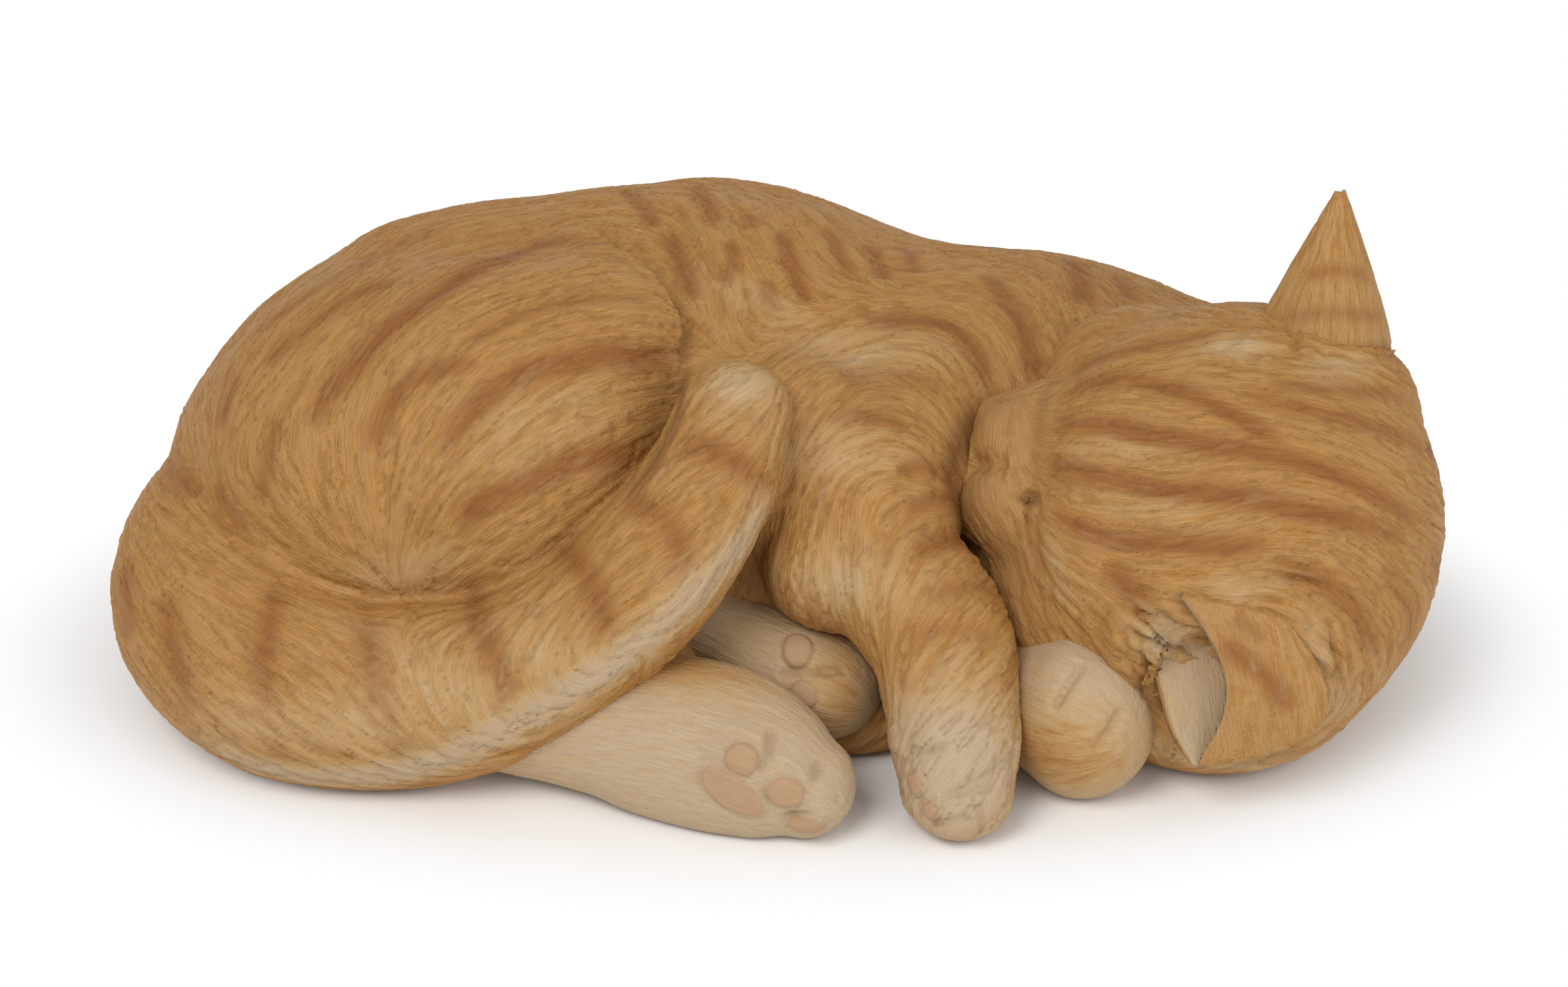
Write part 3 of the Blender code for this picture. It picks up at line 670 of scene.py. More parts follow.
def sculpt_body(skin):
    skin.relax(np.maximum(skin.around((410, 790), 16), skin.around((270, 690), 20)), 60)
    skin.mound((570, 370), (26, 14), 2.0)
    for pixel, radius, depth in (((372, 490), 16, 3.2), ((1180, 285), 12, 2.6)):
        skin.push(-depth * skin.around(pixel, radius))
    skin.relax(skin.around((1200, 880), 18), 30)
    skin.step(skin.cast(HAUNCH_EDGE, 3.0), 4.0, 15, 3.0, 6, (0.15, 0.3))
    skin.groove(skin.cast(HAUNCH_CREASE, 2.0), 1.6, 1.6, (0.1, 0.3))
    for line, depth in (
        (((1500, 1235), (1508, 1262), (1505, 1290)), 0.8),
        (((1385, 1148), (1420, 1152), (1455, 1143)), 0.7),
        (((1440, 1227), (1475, 1215), (1510, 1197), (1540, 1172)), 1.3),
        (((1425, 1262), (1455, 1262), (1490, 1250)), 0.6),
    ):
        crease(skin, line, depth, 1.4)
    for pixel, radii in (((1372, 1133), (2.6, 3.2)), ((1408, 1202), (2.6, 3.0)), ((1430, 1243), (2.4, 2.4))):
        skin.pad(pixel, radii, 0.9)


def sculpt_head(skin):
    skin.relax(skin.around((2150, 560), 20), 60)
    skin.push(-3.0 * skin.around((2135, 440), 13))
    skin.mound((1530, 654), (7, 7.5), 2.6)
    skin.mound((1518, 768), (7, 8), 2.6)
    skin.groove(skin.cast(MOUTH_NOTCH, 2.0), 3.2, 2.4, (0.0, 0.6))
    skin.groove(skin.cast(MUZZLE_STOP, 3.0), 0.9, 3.0)
    skin.step(skin.cast(EYE_LINE, 3.0), 1.5, 8, 0.9, 2.5, (0.3, 0.1))
    skin.groove(skin.cast(EYE_SLIT, 2.0), 0.8, 1.0, (0.1, 0.1))
    skin.push(-2.6 * skin.around(EYE_CORNER, 2.0))
    skin.mound((1782, 1070), (5, 10), -5.0, 15)


def sculpt_right_hind(skin):
    for pixel, radii, height in (
        ((1140, 1150), (6.5, 6.5), 1.8), ((1215, 1200), (6.5, 6.0), 2.0), ((1265, 1240), (6, 5), 1.8),
    ):
        skin.mound(pixel, radii, height)
    for line in (((1185, 1115), (1180, 1150), (1165, 1190)), ((1262, 1165), (1245, 1200), (1225, 1238)),
                 ((1200, 1250), (1245, 1243), (1290, 1222))):
        crease(skin, line, 1.7, 1.5)
    skin.pad((1125, 1215), (9.0, 4.4), 0.9, -35)
    skin.pad((1140, 1165), (4.0, 3.9))
    skin.pad((1205, 1213), (4.6, 3.6), 0.8, -15)
    skin.pad((1240, 1263), (4.6, 2.6), 0.8, -5)


def sculpt_left_hind(skin):
    skin.mound((1232, 998), (6, 6), 1.3)
    skin.mound((1245, 1068), (6, 5.5), 1.3)
    crease(skin, ((1195, 1035), (1240, 1032), (1300, 1030)), 1.6, 1.5)
    skin.pad((1225, 1000), (3.6, 4.2))
    skin.pad((1235, 1065), (3.4, 3.4))


def sculpt_left_fore(skin):
    for line in (((1615, 1090), (1640, 1050), (1665, 1015)), ((1680, 1155), (1705, 1120), (1725, 1085))):
        crease(skin, line, 1.6, 1.3)


# Darker stripes: half width in millimetres, strength, and their line, in pixels of the photograph
BODY_STRIPES = (
    (2.6, 0.7, ((620, 425), (550, 450), (500, 480), (450, 520), (400, 560))),
    (2.4, 0.5, ((700, 350), (600, 385), (520, 425), (440, 475), (380, 520))),
    (3.0, 1.0, ((990, 412), (930, 395), (850, 385), (760, 400), (700, 430), (650, 465), (600, 500), (560, 540),
        (535, 570), (500, 610), (475, 660))),
    (3.0, 1.0, ((1040, 560), (950, 545), (880, 555), (800, 575), (740, 620), (700, 660), (685, 710))),
    (2.4, 0.8, ((740, 552), (680, 565), (640, 580), (610, 605), (585, 640), (570, 700))),
    (2.8, 1.0, ((1000, 690), (900, 705), (850, 725), (800, 745), (750, 770), (690, 805))),
    (2.2, 0.5, ((1000, 470), (920, 460), (840, 470), (760, 500), (700, 540))),
    (2.6, 0.6, ((370, 570), (350, 610), (340, 660))),
    (2.2, 0.6, ((430, 630), (410, 700), (400, 780))),
    (2.4, 0.7, ((330, 740), (350, 790), (385, 825))),
    (3.0, 0.6, ((250, 690), (270, 730), (300, 765))),
    (2.0, 0.8, ((1065, 280), (1085, 310), (1100, 345))),
    (2.0, 0.8, ((1120, 365), (1127, 400), (1110, 435))),
    (2.4, 0.9, ((1025, 350), (1040, 390), (1058, 430), (1062, 460))),
    (2.0, 0.7, ((960, 290), (990, 320), (1010, 350))),
    (2.0, 0.7, ((1148, 325), (1158, 350))),
    (2.2, 0.9, ((1200, 350), (1212, 395), (1225, 425), (1242, 470))),
    (2.0, 0.7, ((1168, 425), (1185, 450), (1184, 485))),
    (2.0, 0.7, ((1270, 345), (1290, 385), (1310, 430))),
    (2.4, 0.8, ((1335, 375), (1350, 400), (1365, 430))),
    (2.2, 0.7, ((1395, 380), (1405, 420))),
    (2.0, 0.6, ((1325, 465), (1336, 495))),
    (2.4, 1.0, ((1330, 503), (1400, 490), (1460, 500), (1500, 540), (1518, 600))),
    (2.6, 0.9, ((1510, 420), (1560, 480), (1585, 540), (1592, 590))),
    (2.4, 0.5, ((1290, 588), (1350, 570), (1410, 580), (1450, 615))),
    (2.4, 0.8, ((1265, 650), (1330, 638), (1400, 655))),
    (2.2, 0.8, ((1375, 720), (1430, 718), (1475, 745))),
    (2.2, 0.6, ((1385, 785), (1450, 765), (1490, 790))),
    (2.4, 0.9, ((1400, 845), (1480, 828), (1515, 860))),
    (2.2, 0.6, ((1415, 915), (1500, 900), (1540, 920))),
    (2.4, 0.5, ((1380, 985), (1460, 965), (1540, 985))),
    (3.2, 0.8, ((1640, 380), (1660, 420), (1665, 470))),
    (2.6, 0.7, ((1720, 420), (1740, 460))),
    (3.4, 0.7, ((250, 905), (262, 985), (275, 1040), (300, 1100))),
    (3.0, 0.8, ((432, 890), (415, 950), (405, 1000), (410, 1060), (420, 1130), (432, 1195))),
    (3.0, 0.8, ((565, 920), (565, 980), (575, 1040), (590, 1100), (610, 1150), (628, 1190))),
    (3.2, 0.8, ((728, 885), (735, 950), (755, 1000), (775, 1060), (783, 1135))),
    (3.2, 0.8, ((850, 830), (890, 870), (915, 920), (942, 990))),
    (3.2, 0.8, ((955, 765), (1010, 790), (1040, 830), (1060, 880), (1078, 925))),
    (3.2, 0.8, ((1040, 675), (1100, 695), (1150, 720), (1178, 765))),
    (2.4, 0.5, ((1085, 610), (1130, 625), (1185, 650))),
    (4.0, 0.6, ((192, 860), (192, 930), (200, 980))),
)
HEAD_STRIPES = (
    (2.2, 0.9, ((1630, 605), (1700, 580), (1760, 585), (1830, 605), (1900, 640), (1990, 695))),
    (2.3, 1.0, ((1605, 650), (1700, 652), (1760, 665), (1820, 675), (1900, 688), (1960, 700), (2020, 715),
        (2080, 740), (2130, 770), (2180, 805))),
    (2.3, 1.0, ((1595, 700), (1640, 720), (1700, 735), (1780, 750), (1850, 755), (1920, 765), (2000, 785),
        (2080, 800), (2160, 835))),
    (2.3, 0.9, ((1610, 785), (1660, 810), (1720, 830), (1800, 835), (1880, 840), (1960, 835))),
    (2.2, 0.7, ((1640, 572), (1720, 540), (1800, 525), (1880, 508))),
    (2.2, 0.7, ((1900, 600), (1980, 620), (2060, 640), (2130, 660), (2190, 685))),
    (2.0, 0.6, ((1940, 588), (2040, 596), (2100, 600), (2170, 602))),
    (2.4, 0.9, ((1690, 865), (1720, 885), (1760, 930), (1790, 985))),
    (2.4, 0.8, ((1950, 868), (2040, 900), (2090, 950), (2115, 1010))),
    (2.4, 0.5, ((2120, 870), (2160, 920), (2170, 990))),
    (3.0, 0.6, ((1560, 400), (1600, 430), (1610, 480))),
)
EAR_STRIPES = (
    (2.4, 0.9, ((1870, 985), (1940, 1035), (1985, 1095))),
    (1.8, 0.6, ((1890, 945), (1945, 985))),
    (1.6, 0.7, ((2000, 425), (2050, 415), (2105, 425))),
    (1.6, 0.6, ((1960, 490), (2040, 480), (2125, 488))),
)
# The far side's stripes, in millimetres, laid onto the nearest part of the form
FAR_STRIPES = tuple(
    (3.2, 0.8, ((x - 4, 62, 92), (x, 84, 72), (x + 5, 92, 48), (x + 9, 90, 26))) for x in range(-116, 120, 22)
)
FAR_HEAD_STRIPES = (
    (2.6, 0.8, ((128, -10, 84), (140, 6, 70), (142, 22, 50))),
    (2.6, 0.8, ((142, -28, 68), (152, -10, 54), (150, 14, 40))),
    (2.6, 0.7, ((146, -48, 50), (155, -26, 38), (152, 2, 26))),
    (2.6, 0.7, ((104, 8, 82), (112, 26, 66), (116, 38, 48))),
)


def paint_stripes(skin, stripes, trough, cast=True):
    """Darkens the fur along each stripe and lays the stripe in a shallow trough."""
    for width, strength, line in stripes:
        place = skin.cast(line, 3.0) if cast else skin.lay(line, 3.0)
        weight = 1.2 * strength * skin.near(place, 1.2 * width)
        skin.tint("stripe", weight)
        skin.push(-trough * weight)


def paint_spots(skin, name, spots):
    """Tints soft ovals: a pixel of the photograph, radii in millimetres, turn and strength."""
    for pixel, radii, turn, strength in spots:
        skin.tint(name, strength * skin.oval(pixel, radii, turn))


def paint_body(skin):
    paint_stripes(skin, BODY_STRIPES, 0.45)
    paint_stripes(skin, FAR_STRIPES, 0.45, cast=False)
    hem = (
        (300, 1120), (400, 1180), (520, 1195), (640, 1180), (740, 1140), (840, 1085), (940, 1020), (1030, 950),
        (1100, 880), (1150, 820), (1180, 740),
    )
    skin.tint("pale", 0.85 * skin.near(skin.cast(hem, 4.0), 6.0, (0.1, 0.1)))
    paint_spots(skin, "pale", (
        ((1140, 590), (9, 7), 0, 0.7), ((620, 880), (16, 7), 20, 0.4), ((500, 1120), (40, 9), 0, 0.45),
        ((850, 1010), (14, 10), -40, 0.4), ((1465, 1190), (17, 19), 0, 1.3), ((1400, 1110), (9, 9), 0, 0.9),
        # The pale spot at (1290, 690), on the dome of the upper arm, is a painted highlight
        ((1290, 690), (14, 8), 0, 0.4), ((1290, 900), (16, 8), 0, 0.55), ((1300, 540), (12, 6), -20, 0.45),
        ((1180, 470), (16, 5), -30, 0.35), ((820, 650), (20, 9), 20, 0.3), ((1320, 545), (20, 8), 0, 0.4),
        ((680, 1060), (18, 10), -20, 0.45),
    ))
    # Painted shade: a shadow by the elbow and beside the tail, and darkening along the haunch's crease, the
    # fold below the haunch and the neck
    paint_spots(skin, "painted_shade", (((1175, 900), (7, 7), 0, 0.8), ((1235, 690), (6, 14), 0, 0.35)))
    skin.tint("painted_shade", skin.near(skin.cast(HAUNCH_CREASE, 3.0), 1.7, (0.1, 0.2)))
    fold = ((1056, 560), (1040, 640), (1005, 710), (955, 772))
    skin.tint("painted_shade", 0.8 * skin.near(skin.cast(fold, 3.0), 2.4))
    neck = ((1560, 600), (1490, 650), (1462, 720), (1480, 790), (1530, 860), (1565, 940))
    skin.tint("painted_shade", 0.9 * skin.near(skin.cast(neck, 3.0), 4.0))


def paint_head(skin):
    paint_stripes(skin, HEAD_STRIPES, 0.4)
    paint_stripes(skin, FAR_HEAD_STRIPES, 0.4, cast=False)
    paint_spots(skin, "grey", (
        ((1540, 650), (9, 9), 0, 1.0), ((1525, 765), (9, 10), 0, 1.0), ((1560, 880), (8, 14), 20, 0.8),
        ((1570, 960), (7, 8), 0, 0.5),
    ))
    paint_spots(skin, "pale", (
        ((1785, 985), (6, 7), 0, 0.8), ((1900, 535), (9, 4), 0, 0.6), ((2060, 560), (12, 4), 10, 0.5),
        ((1905, 905), (14, 4), 15, 0.4), ((2020, 1010), (5, 12), 15, 0.4), ((1900, 1175), (30, 6), -5, 0.55),
        ((2040, 1090), (13, 13), 0, 0.4),
        ((1700, 690), (12, 2.5), -4, 0.3), ((1760, 780), (16, 2.5), -6, 0.3), ((1620, 870), (4, 12), 15, 0.35),
    ))
    paint_spots(skin, "tuft", (
        ((1785, 985), (11, 12), 0, 1.0), ((2000, 520), (24, 6), 0, 0.8), ((1990, 880), (16, 6), 10, 0.7),
        ((2040, 1030), (7, 16), 10, 0.7), ((1900, 1170), (30, 6), 0, 0.7), ((1650, 980), (8, 8), 0, 0.4),
    ))
    # Painted shade along the eye line, in the eye slit and its corner, along the muzzle's stop, and in the
    # hollow beside the left ear and by the temple tuft
    skin.tint("painted_shade", 0.35 * skin.near(skin.cast(EYE_LINE, 2.0), 1.4, (0.3, 0.1)))
    skin.tint("painted_shade", 0.7 * skin.near(skin.cast(EYE_SLIT, 2.0), 0.6, (0.15, 0.1)))
    skin.tint("painted_shade", 1.5 * skin.around(EYE_CORNER, 2.0))
    skin.tint("painted_shade", 0.5 * skin.near(skin.cast(MUZZLE_STOP, 3.0), 2.0))
    paint_spots(skin, "painted_shade", (((1782, 1070), (4, 9), 15, 1.0), ((1800, 985), (4, 5), 0, 0.5)))


def paint_ear(skin):
    """Stripes on the back of an ear, and a pale inside: the second half of each section's points."""
    paint_stripes(skin, EAR_STRIPES, 0.0)
    inside = np.arange(len(skin.points)) % (2 * len(EAR_WRAP)) >= len(EAR_WRAP)
    skin.tint("pale", np.where(inside, 0.8, 0.1))


def paint_right_hind(skin):
    heel = np.clip((-38 - skin.points[:, 0]) / 30, 0, 1)
    skin.tint("pale", 0.95 - 0.25 * heel - 0.75 * skin.oval((1030, 1020), (24, 8), -12))


def paint_left_hind(skin):
    skin.tint("pale", 0.75 - 0.5 * skin.oval((1290, 1070), (6, 12)))


def paint_left_fore(skin):
    skin.tint("pale", 0.95 - 0.8 * skin.oval((1620, 1165), (19, 13), -20))


# The seats of the plate and the pads, cut into what they touch
SEATS = ("base_plate", *(f"felt_pad_{end}_{side}" for end in ("rear", "front") for side in ("left", "right")))
SEAT_GAP = 0.0003


def sink(obj, low, high):
    """Cuts a stadium of the given box out of a form, in the row frame."""
    bm = bmesh.new()
    width = (high[1] - low[1]) / 2
    middle = (low[1] + high[1]) / 2
    outline = []
    for x, start in ((high[0] - width, -90), (low[0] + width, 90)):
        for angle in np.radians(np.linspace(start, start + 180, 25)):
            outline.append((x + width * math.cos(angle), middle + width * math.sin(angle)))
    base = [bm.verts.new((x, y, low[2])) for x, y in outline]
    face = bm.faces.new(base)
    lid = bmesh.ops.extrude_face_region(bm, geom=[face])
    for vertex in lid["geom"]:
        if isinstance(vertex, bmesh.types.BMVert):
            vertex.co.z = high[2]
    cut(obj, new_object("sinker", bm))


def stand(skin, name, nodes, material):
    """Turns a skin into a piece of the scene, in place, with the seats of the plate and pads cut out."""
    obj = skin.obj
    obj.name = name
    obj.data.name = name
    obj.data.vertices.foreach_set("co", ((skin.points + SHIFT) * MM).astype(np.float32).ravel())
    for key, values in skin.values.items():
        kind = "FLOAT" if values.ndim == 1 else "FLOAT_VECTOR"
        field = "value" if values.ndim == 1 else "vector"
        attribute = obj.data.attributes.new(key, kind, "POINT")
        attribute.data.foreach_set(field, values.astype(np.float32).ravel())
    obj.data.update()
    low = (skin.points.min(0) + SHIFT) * MM
    high = (skin.points.max(0) + SHIFT) * MM
    for seat_low, seat_high in map(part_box, SEATS):
        if np.all(np.array(seat_low) <= high) and np.all(np.array(seat_high) >= low):
            sink(obj, np.array(seat_low) - SEAT_GAP * np.array([1, 1, 20]), np.array(seat_high) + SEAT_GAP)
    obj.data.polygons.foreach_set("use_smooth", [True] * len(obj.data.polygons))
    obj.data.materials.clear()
    obj.data.materials.append(material)
    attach(obj, "root")
    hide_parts(*nodes)
    return obj


def node(tree, kind, inputs=None, **settings):
    """A shader node with values or links for its inputs."""
    made = tree.nodes.new("ShaderNode" + kind)
    for name, value in settings.items():
        setattr(made, name, value)
    for socket, value in (inputs or {}).items():
        if isinstance(value, bpy.types.NodeSocket):
            tree.links.new(value, made.inputs[socket])
        else:
            made.inputs[socket].default_value = value
    return made


def maths(tree, operation, *values):
    return node(tree, "Math", dict(enumerate(values)), operation=operation).outputs[0]


def vector_maths(tree, operation, *values):
    return node(tree, "VectorMath", dict(enumerate(values)), operation=operation).outputs[0]


def new_material(name):
    """A material, its node tree and its shader."""
    material = bpy.data.materials.new(name)
    material.use_nodes = True
    return material, material.node_tree, material.node_tree.nodes["Principled BSDF"]


def plain_material(name, colour, grain):
    """A matt surface with a fine mottle."""
    material, tree, shader = new_material(name)
    shader.inputs["Roughness"].default_value = 0.8
    where = node(tree, "TexCoord").outputs["Object"]
    mottle = node(tree, "TexNoise", {"Vector": where, "Scale": grain, "Detail": 4.0})
    ramp = node(tree, "ValToRGB", {"Fac": mottle.outputs["Fac"]})
    for stop, share in zip(ramp.color_ramp.elements, (0.8, 1.15)):
        stop.color = (*(channel * share for channel in colour), 1)
    tree.links.new(ramp.outputs["Color"], shader.inputs["Base Color"])
    return material


# The lie of the fur, root to tip: pixels of the photograph, and millimetres for the sides that it hides
BODY_FUR = (
    ((1000, 330), (900, 320), (800, 330), (700, 350), (600, 400), (500, 470), (420, 560), (360, 650),
     (340, 750), (400, 830), (500, 880), (590, 910)),
    ((1000, 420), (900, 400), (800, 410), (700, 440), (620, 490), (560, 560), (520, 650), (530, 740),
     (570, 830), (600, 905)),
    ((1030, 500), (950, 480), (850, 500), (760, 540), (690, 600), (640, 690), (615, 790), (608, 900)),
    ((1040, 560), (950, 560), (860, 590), (780, 650), (710, 720), (650, 810), (615, 900)),
    ((1030, 620), (950, 640), (860, 680), (770, 740), (690, 810), (625, 895)),
    ((990, 700), (920, 740), (840, 780), (750, 830), (650, 890)),
    ((230, 700), (270, 760), (350, 830), (450, 880), (570, 915)),
    ((300, 600), (310, 700), (380, 800), (480, 870), (590, 910)),
    ((1110, 500), (1100, 430), (1070, 360), (1040, 300)),
    ((1240, 450), (1200, 380), (1150, 300)),
    ((1350, 450), (1320, 400), (1250, 330)),
    ((1480, 790), (1430, 720), (1350, 690), (1270, 720), (1230, 800), (1200, 900)),
    ((1490, 690), (1440, 600), (1370, 560), (1290, 580), (1230, 640), (1210, 700)),
    ((1520, 600), (1480, 520), (1400, 490), (1290, 510), (1210, 560)),
    ((1590, 590), (1570, 530), (1520, 470), (1400, 450), (1280, 480)),
    ((1640, 500), (1600, 420), (1480, 390), (1350, 400)),
    ((1300, 780), (1305, 860), (1310, 930)),
    ((1250, 800), (1245, 860), (1250, 930)),
    ((1490, 800), (1420, 850), (1375, 920)),
    ((1535, 870), (1470, 930), (1410, 1000)),
    ((1550, 950), (1480, 1010), (1410, 1090)),
    ((1550, 1030), (1480, 1090), (1410, 1160)),
    ((1545, 1100), (1490, 1160), (1440, 1240)),
    ((1360, 940), (1365, 1010), (1370, 1080)),
)
BODY_FUR_BEHIND = (
    ((120, 50, 70), (60, 72, 78), (0, 82, 88), (-60, 78, 85), (-110, 60, 66), (-138, 30, 45)),
    ((128, 50, 40), (60, 85, 45), (0, 92, 50), (-60, 88, 45), (-110, 70, 35), (-142, 30, 25)),
    ((110, 65, 15), (40, 85, 15), (-40, 90, 15), (-100, 75, 12), (-142, 40, 10)),
    ((80, 20, 88), (30, 30, 96), (-30, 35, 104), (-80, 28, 100), (-115, 15, 85), (-138, 5, 60)),
    ((60, -20, 20), (0, -30, 20), (-60, -30, 20)),
)
HEAD_FUR = (
    ((1600, 600), (1680, 560), (1780, 530), (1880, 510)),
    ((1600, 640), (1700, 620), (1800, 630), (1900, 650), (2000, 680), (2100, 720), (2190, 780)),
    ((1600, 700), (1700, 700), (1800, 700), (1900, 682), (1980, 670)),
    ((1980, 740), (2080, 760), (2190, 830)),
    ((1600, 750), (1700, 775), (1800, 778), (1900, 752), (1980, 728)),
    ((1980, 810), (2080, 830), (2160, 900)),
    ((1610, 800), (1680, 830), (1780, 842), (1880, 825), (1960, 795)),
    ((1600, 810), (1660, 860), (1740, 880), (1850, 885), (1960, 880), (2050, 920), (2100, 990), (2110, 1060)),
    ((1590, 830), (1640, 880), (1700, 930), (1760, 990), (1790, 1020)),
    ((1600, 900), (1620, 960), (1650, 1000)),
    ((2150, 1000), (2100, 1080), (2000, 1150), (1900, 1180)),
    ((1900, 560), (2000, 570), (2100, 590), (2170, 640)),
    ((1480, 400), (1600, 400), (1750, 460), (1880, 500)),
    ((1560, 800), (1575, 880), (1600, 960)),
    ((1560, 640), (1545, 690), (1545, 740)),
    ((1510, 720), (1510, 760), (1530, 800)),
)
HEAD_FUR_BEHIND = (
    ((60, 10, 75), (90, 20, 80), (120, 25, 72), (145, 15, 60)),
    ((150, -40, 60), (154, -20, 50), (152, 5, 45), (140, 30, 40)),
    ((140, -60, 30), (150, -40, 25), (150, -10, 20), (140, 20, 20)),
    ((90, 35, 60), (115, 40, 50), (130, 38, 40)),
)


def guides_of(skin, seen, hidden):
    """Lines of pixels cast onto a skin, and lines in millimetres."""
    return [skin.cast(line)[0] for line in seen] + [np.array(line, float) for line in hidden]


def centre_line(stations):
    return resample(spline(stations, 10)[:, :3], 2.0)


def groom(skin, guides):
    """Works out the way of the fur over a skin."""
    some = slice(None, None, max(1, len(skin.points) // 20000))
    ways = lie_of(skin.points[some], skin.normals[some], [line for line in guides if len(line) > 1])
    skin.lie = Lie(skin.points[some], ways)
    skin.values["lie"] = skin.lie.at(skin.points)


# Carved hair: widths of a lock, a strand and a tuft, in millimetres, and a tuft's height
LOCK = 2.0
STRAND = 1.0
TUFT = 3.6
TUFT_HEIGHT = 3.0


def carve(skin, locks, strands, size=1.0):
    """Carves locks with thin grooves between them, and finer strands in them, along the fur."""
    bare = skin.values["pad"]
    tufted = skin.values["tuft"]
    long = skin.lie.follow(skin.points, 1.3 * size, 6)
    short = skin.lie.follow(skin.points, 0.8 * size, 5)
    lock = np.minimum(np.abs(hair(long, LOCK * size, 11)) / 0.55, 1)
    strand = hair(short, STRAND * size, 23)
    tuft = np.minimum(np.abs(hair(long, TUFT, 37)) / 0.7, 1)
    skin.values["strand"] = strand
    # The groove mask drives painted shade in the grooves between locks and tufts
    skin.values["groove"] = np.maximum(1.6 * locks * (1 - lock), tufted * (1 - tuft))
    heights = locks * (lock - 0.8) + strands * strand + TUFT_HEIGHT * tufted * (tuft - 0.6)
    furred = (1 - bare) * (1 - 0.6 * np.clip(skin.values["grey"], 0, 1))
    skin.push(furred * heights)


# Paint, as linear colours
SHADED_COAT = (0.375, 0.180, 0.048)
COAT = (0.452, 0.240, 0.076)
STRIPE = (0.275, 0.105, 0.026)
GOLD = (0.49, 0.31, 0.14)
CREAM = (0.485, 0.36, 0.228)
PAD = (0.44, 0.275, 0.155)
MUZZLE = (0.39, 0.207, 0.073)
# Painted shade: the deep brown that grooves, creases and hollows are darkened towards
SHADE_COLOUR = (0.155, 0.062, 0.018)


def blend(tree, share, low, high):
    """Two colours mixed by a share from 0 to 1."""
    mix = node(tree, "Mix", {0: share}, data_type="RGBA")
    for socket, colour in ((6, low), (7, high)):
        if isinstance(colour, bpy.types.NodeSocket):
            tree.links.new(colour, mix.inputs[socket])
        else:
            mix.inputs[socket].default_value = (*colour, 1)
    return mix.outputs[2]


def fur_material(name):
    """Painted hair: strokes along the fur, stripes and cream with hairy edges, painted shade in the grooves
    and creases.
    """
    material, tree, shader = new_material(name)
    shader.inputs["Specular IOR Level"].default_value = 0.22
    where = node(tree, "TexCoord").outputs["Object"]
    lie = node(tree, "Attribute", attribute_name="lie").outputs["Vector"]

    def value(key):
        return node(tree, "Attribute", attribute_name=key).outputs["Fac"]

    def spread(source, low, high, to_low=0.0, to_high=1.0):
        return node(tree, "MapRange", {0: source, 1: low, 2: high, 3: to_low, 4: to_high}).outputs[0]

    def brushed(width, strokes):
        """Noise summed along the fur, which makes strands of the given width in millimetres."""
        found = 0.0
        for stroke in range(-(strokes // 2), strokes // 2 + 1):
            ahead = node(tree, "VectorMath", {0: lie, "Scale": stroke * width * MM}, operation="SCALE")
            place = vector_maths(tree, "ADD", where, ahead.outputs[0])
            grain = node(tree, "TexNoise", {"Vector": place, "Scale": 1 / (width * MM), "Detail": 0.0})
            found = maths(tree, "ADD", grain.outputs["Fac"], found)
        middle = strokes // 2 + 0.5
        return spread(found, middle - 0.8, middle + 0.8)

    def hairy(key, amount, low, high):
        """A tint whose edge is broken up by the hair."""
        return spread(maths(tree, "MULTIPLY_ADD", value("strand"), amount, value(key)), low, high)

    fine = brushed(0.4, 9)
    strand = spread(value("strand"), -2.0, 2.0)
    tone = maths(tree, "MULTIPLY_ADD", fine, 0.4, maths(tree, "MULTIPLY", strand, 0.6))
    coat = blend(tree, spread(tone, 0.25, 0.75), SHADED_COAT, COAT)
    colour = blend(tree, hairy("stripe", 0.20, 0.05, 1.05), coat, STRIPE)
    pale = hairy("pale", 0.07, 0.05, 1.0)
    colour = blend(tree, spread(pale, 0.0, 0.5), colour, GOLD)
    colour = blend(tree, spread(pale, 0.4, 0.95), colour, CREAM)
    colour = blend(tree, spread(value("grey"), 0.1, 0.9), colour, MUZZLE)
    colour = blend(tree, spread(value("pad"), 0.3, 0.8), colour, PAD)
    shade = spread(fine, 0.0, 1.0, 0.93, 1.07)
    colour = node(tree, "VectorMath", {0: colour, "Scale": shade}, operation="SCALE").outputs[0]
    # Painted shade: the grooves between locks, and the creases and hollows, are darkened towards a deep brown
    colour = blend(tree, spread(value("groove"), 0.1, 1.0, 0.0, 0.30), colour, SHADE_COLOUR)
    colour = blend(tree, spread(value("painted_shade"), 0.1, 1.0, 0.0, 0.85), colour, SHADE_COLOUR)
    tree.links.new(colour, shader.inputs["Base Color"])
    tree.links.new(spread(tone, 0.25, 0.75, 0.66, 0.52), shader.inputs["Roughness"])
    height = maths(tree, "MULTIPLY", fine, maths(tree, "SUBTRACT", 1.0, value("pad")))
    bump = node(tree, "Bump", {"Height": height, "Strength": 1.0, "Distance": 0.00012})
    tree.links.new(bump.outputs[0], shader.inputs["Normal"])
    return material


def dress(skin, guides, carving, name, slot, *nodes):
    """Grooms and carves a painted skin and stands it in the place of its nodes."""
    groom(skin, guides)
    carve(skin, *carving)
    stand(skin, name, nodes, coat)


# How high the locks and the strands stand, in millimetres, and the size of the hair
BODY_CARVING = (0.55, 0.11)
HEAD_CARVING = (0.48, 0.10)
FOOT_CARVING = (0.10, 0.05, 0.7)
EAR_CARVING = (0.12, 0.04, 0.7)

coat = fur_material("coat")

body = make_body()
sculpt_body(body)
paint_body(body)
guides = guides_of(body, BODY_FUR, [centre_line(TAIL), *BODY_FUR_BEHIND])
dress(body, guides, BODY_CARVING, "body_fur", "painted_resin_body", "torso_shell", "right_foreleg", "tail")

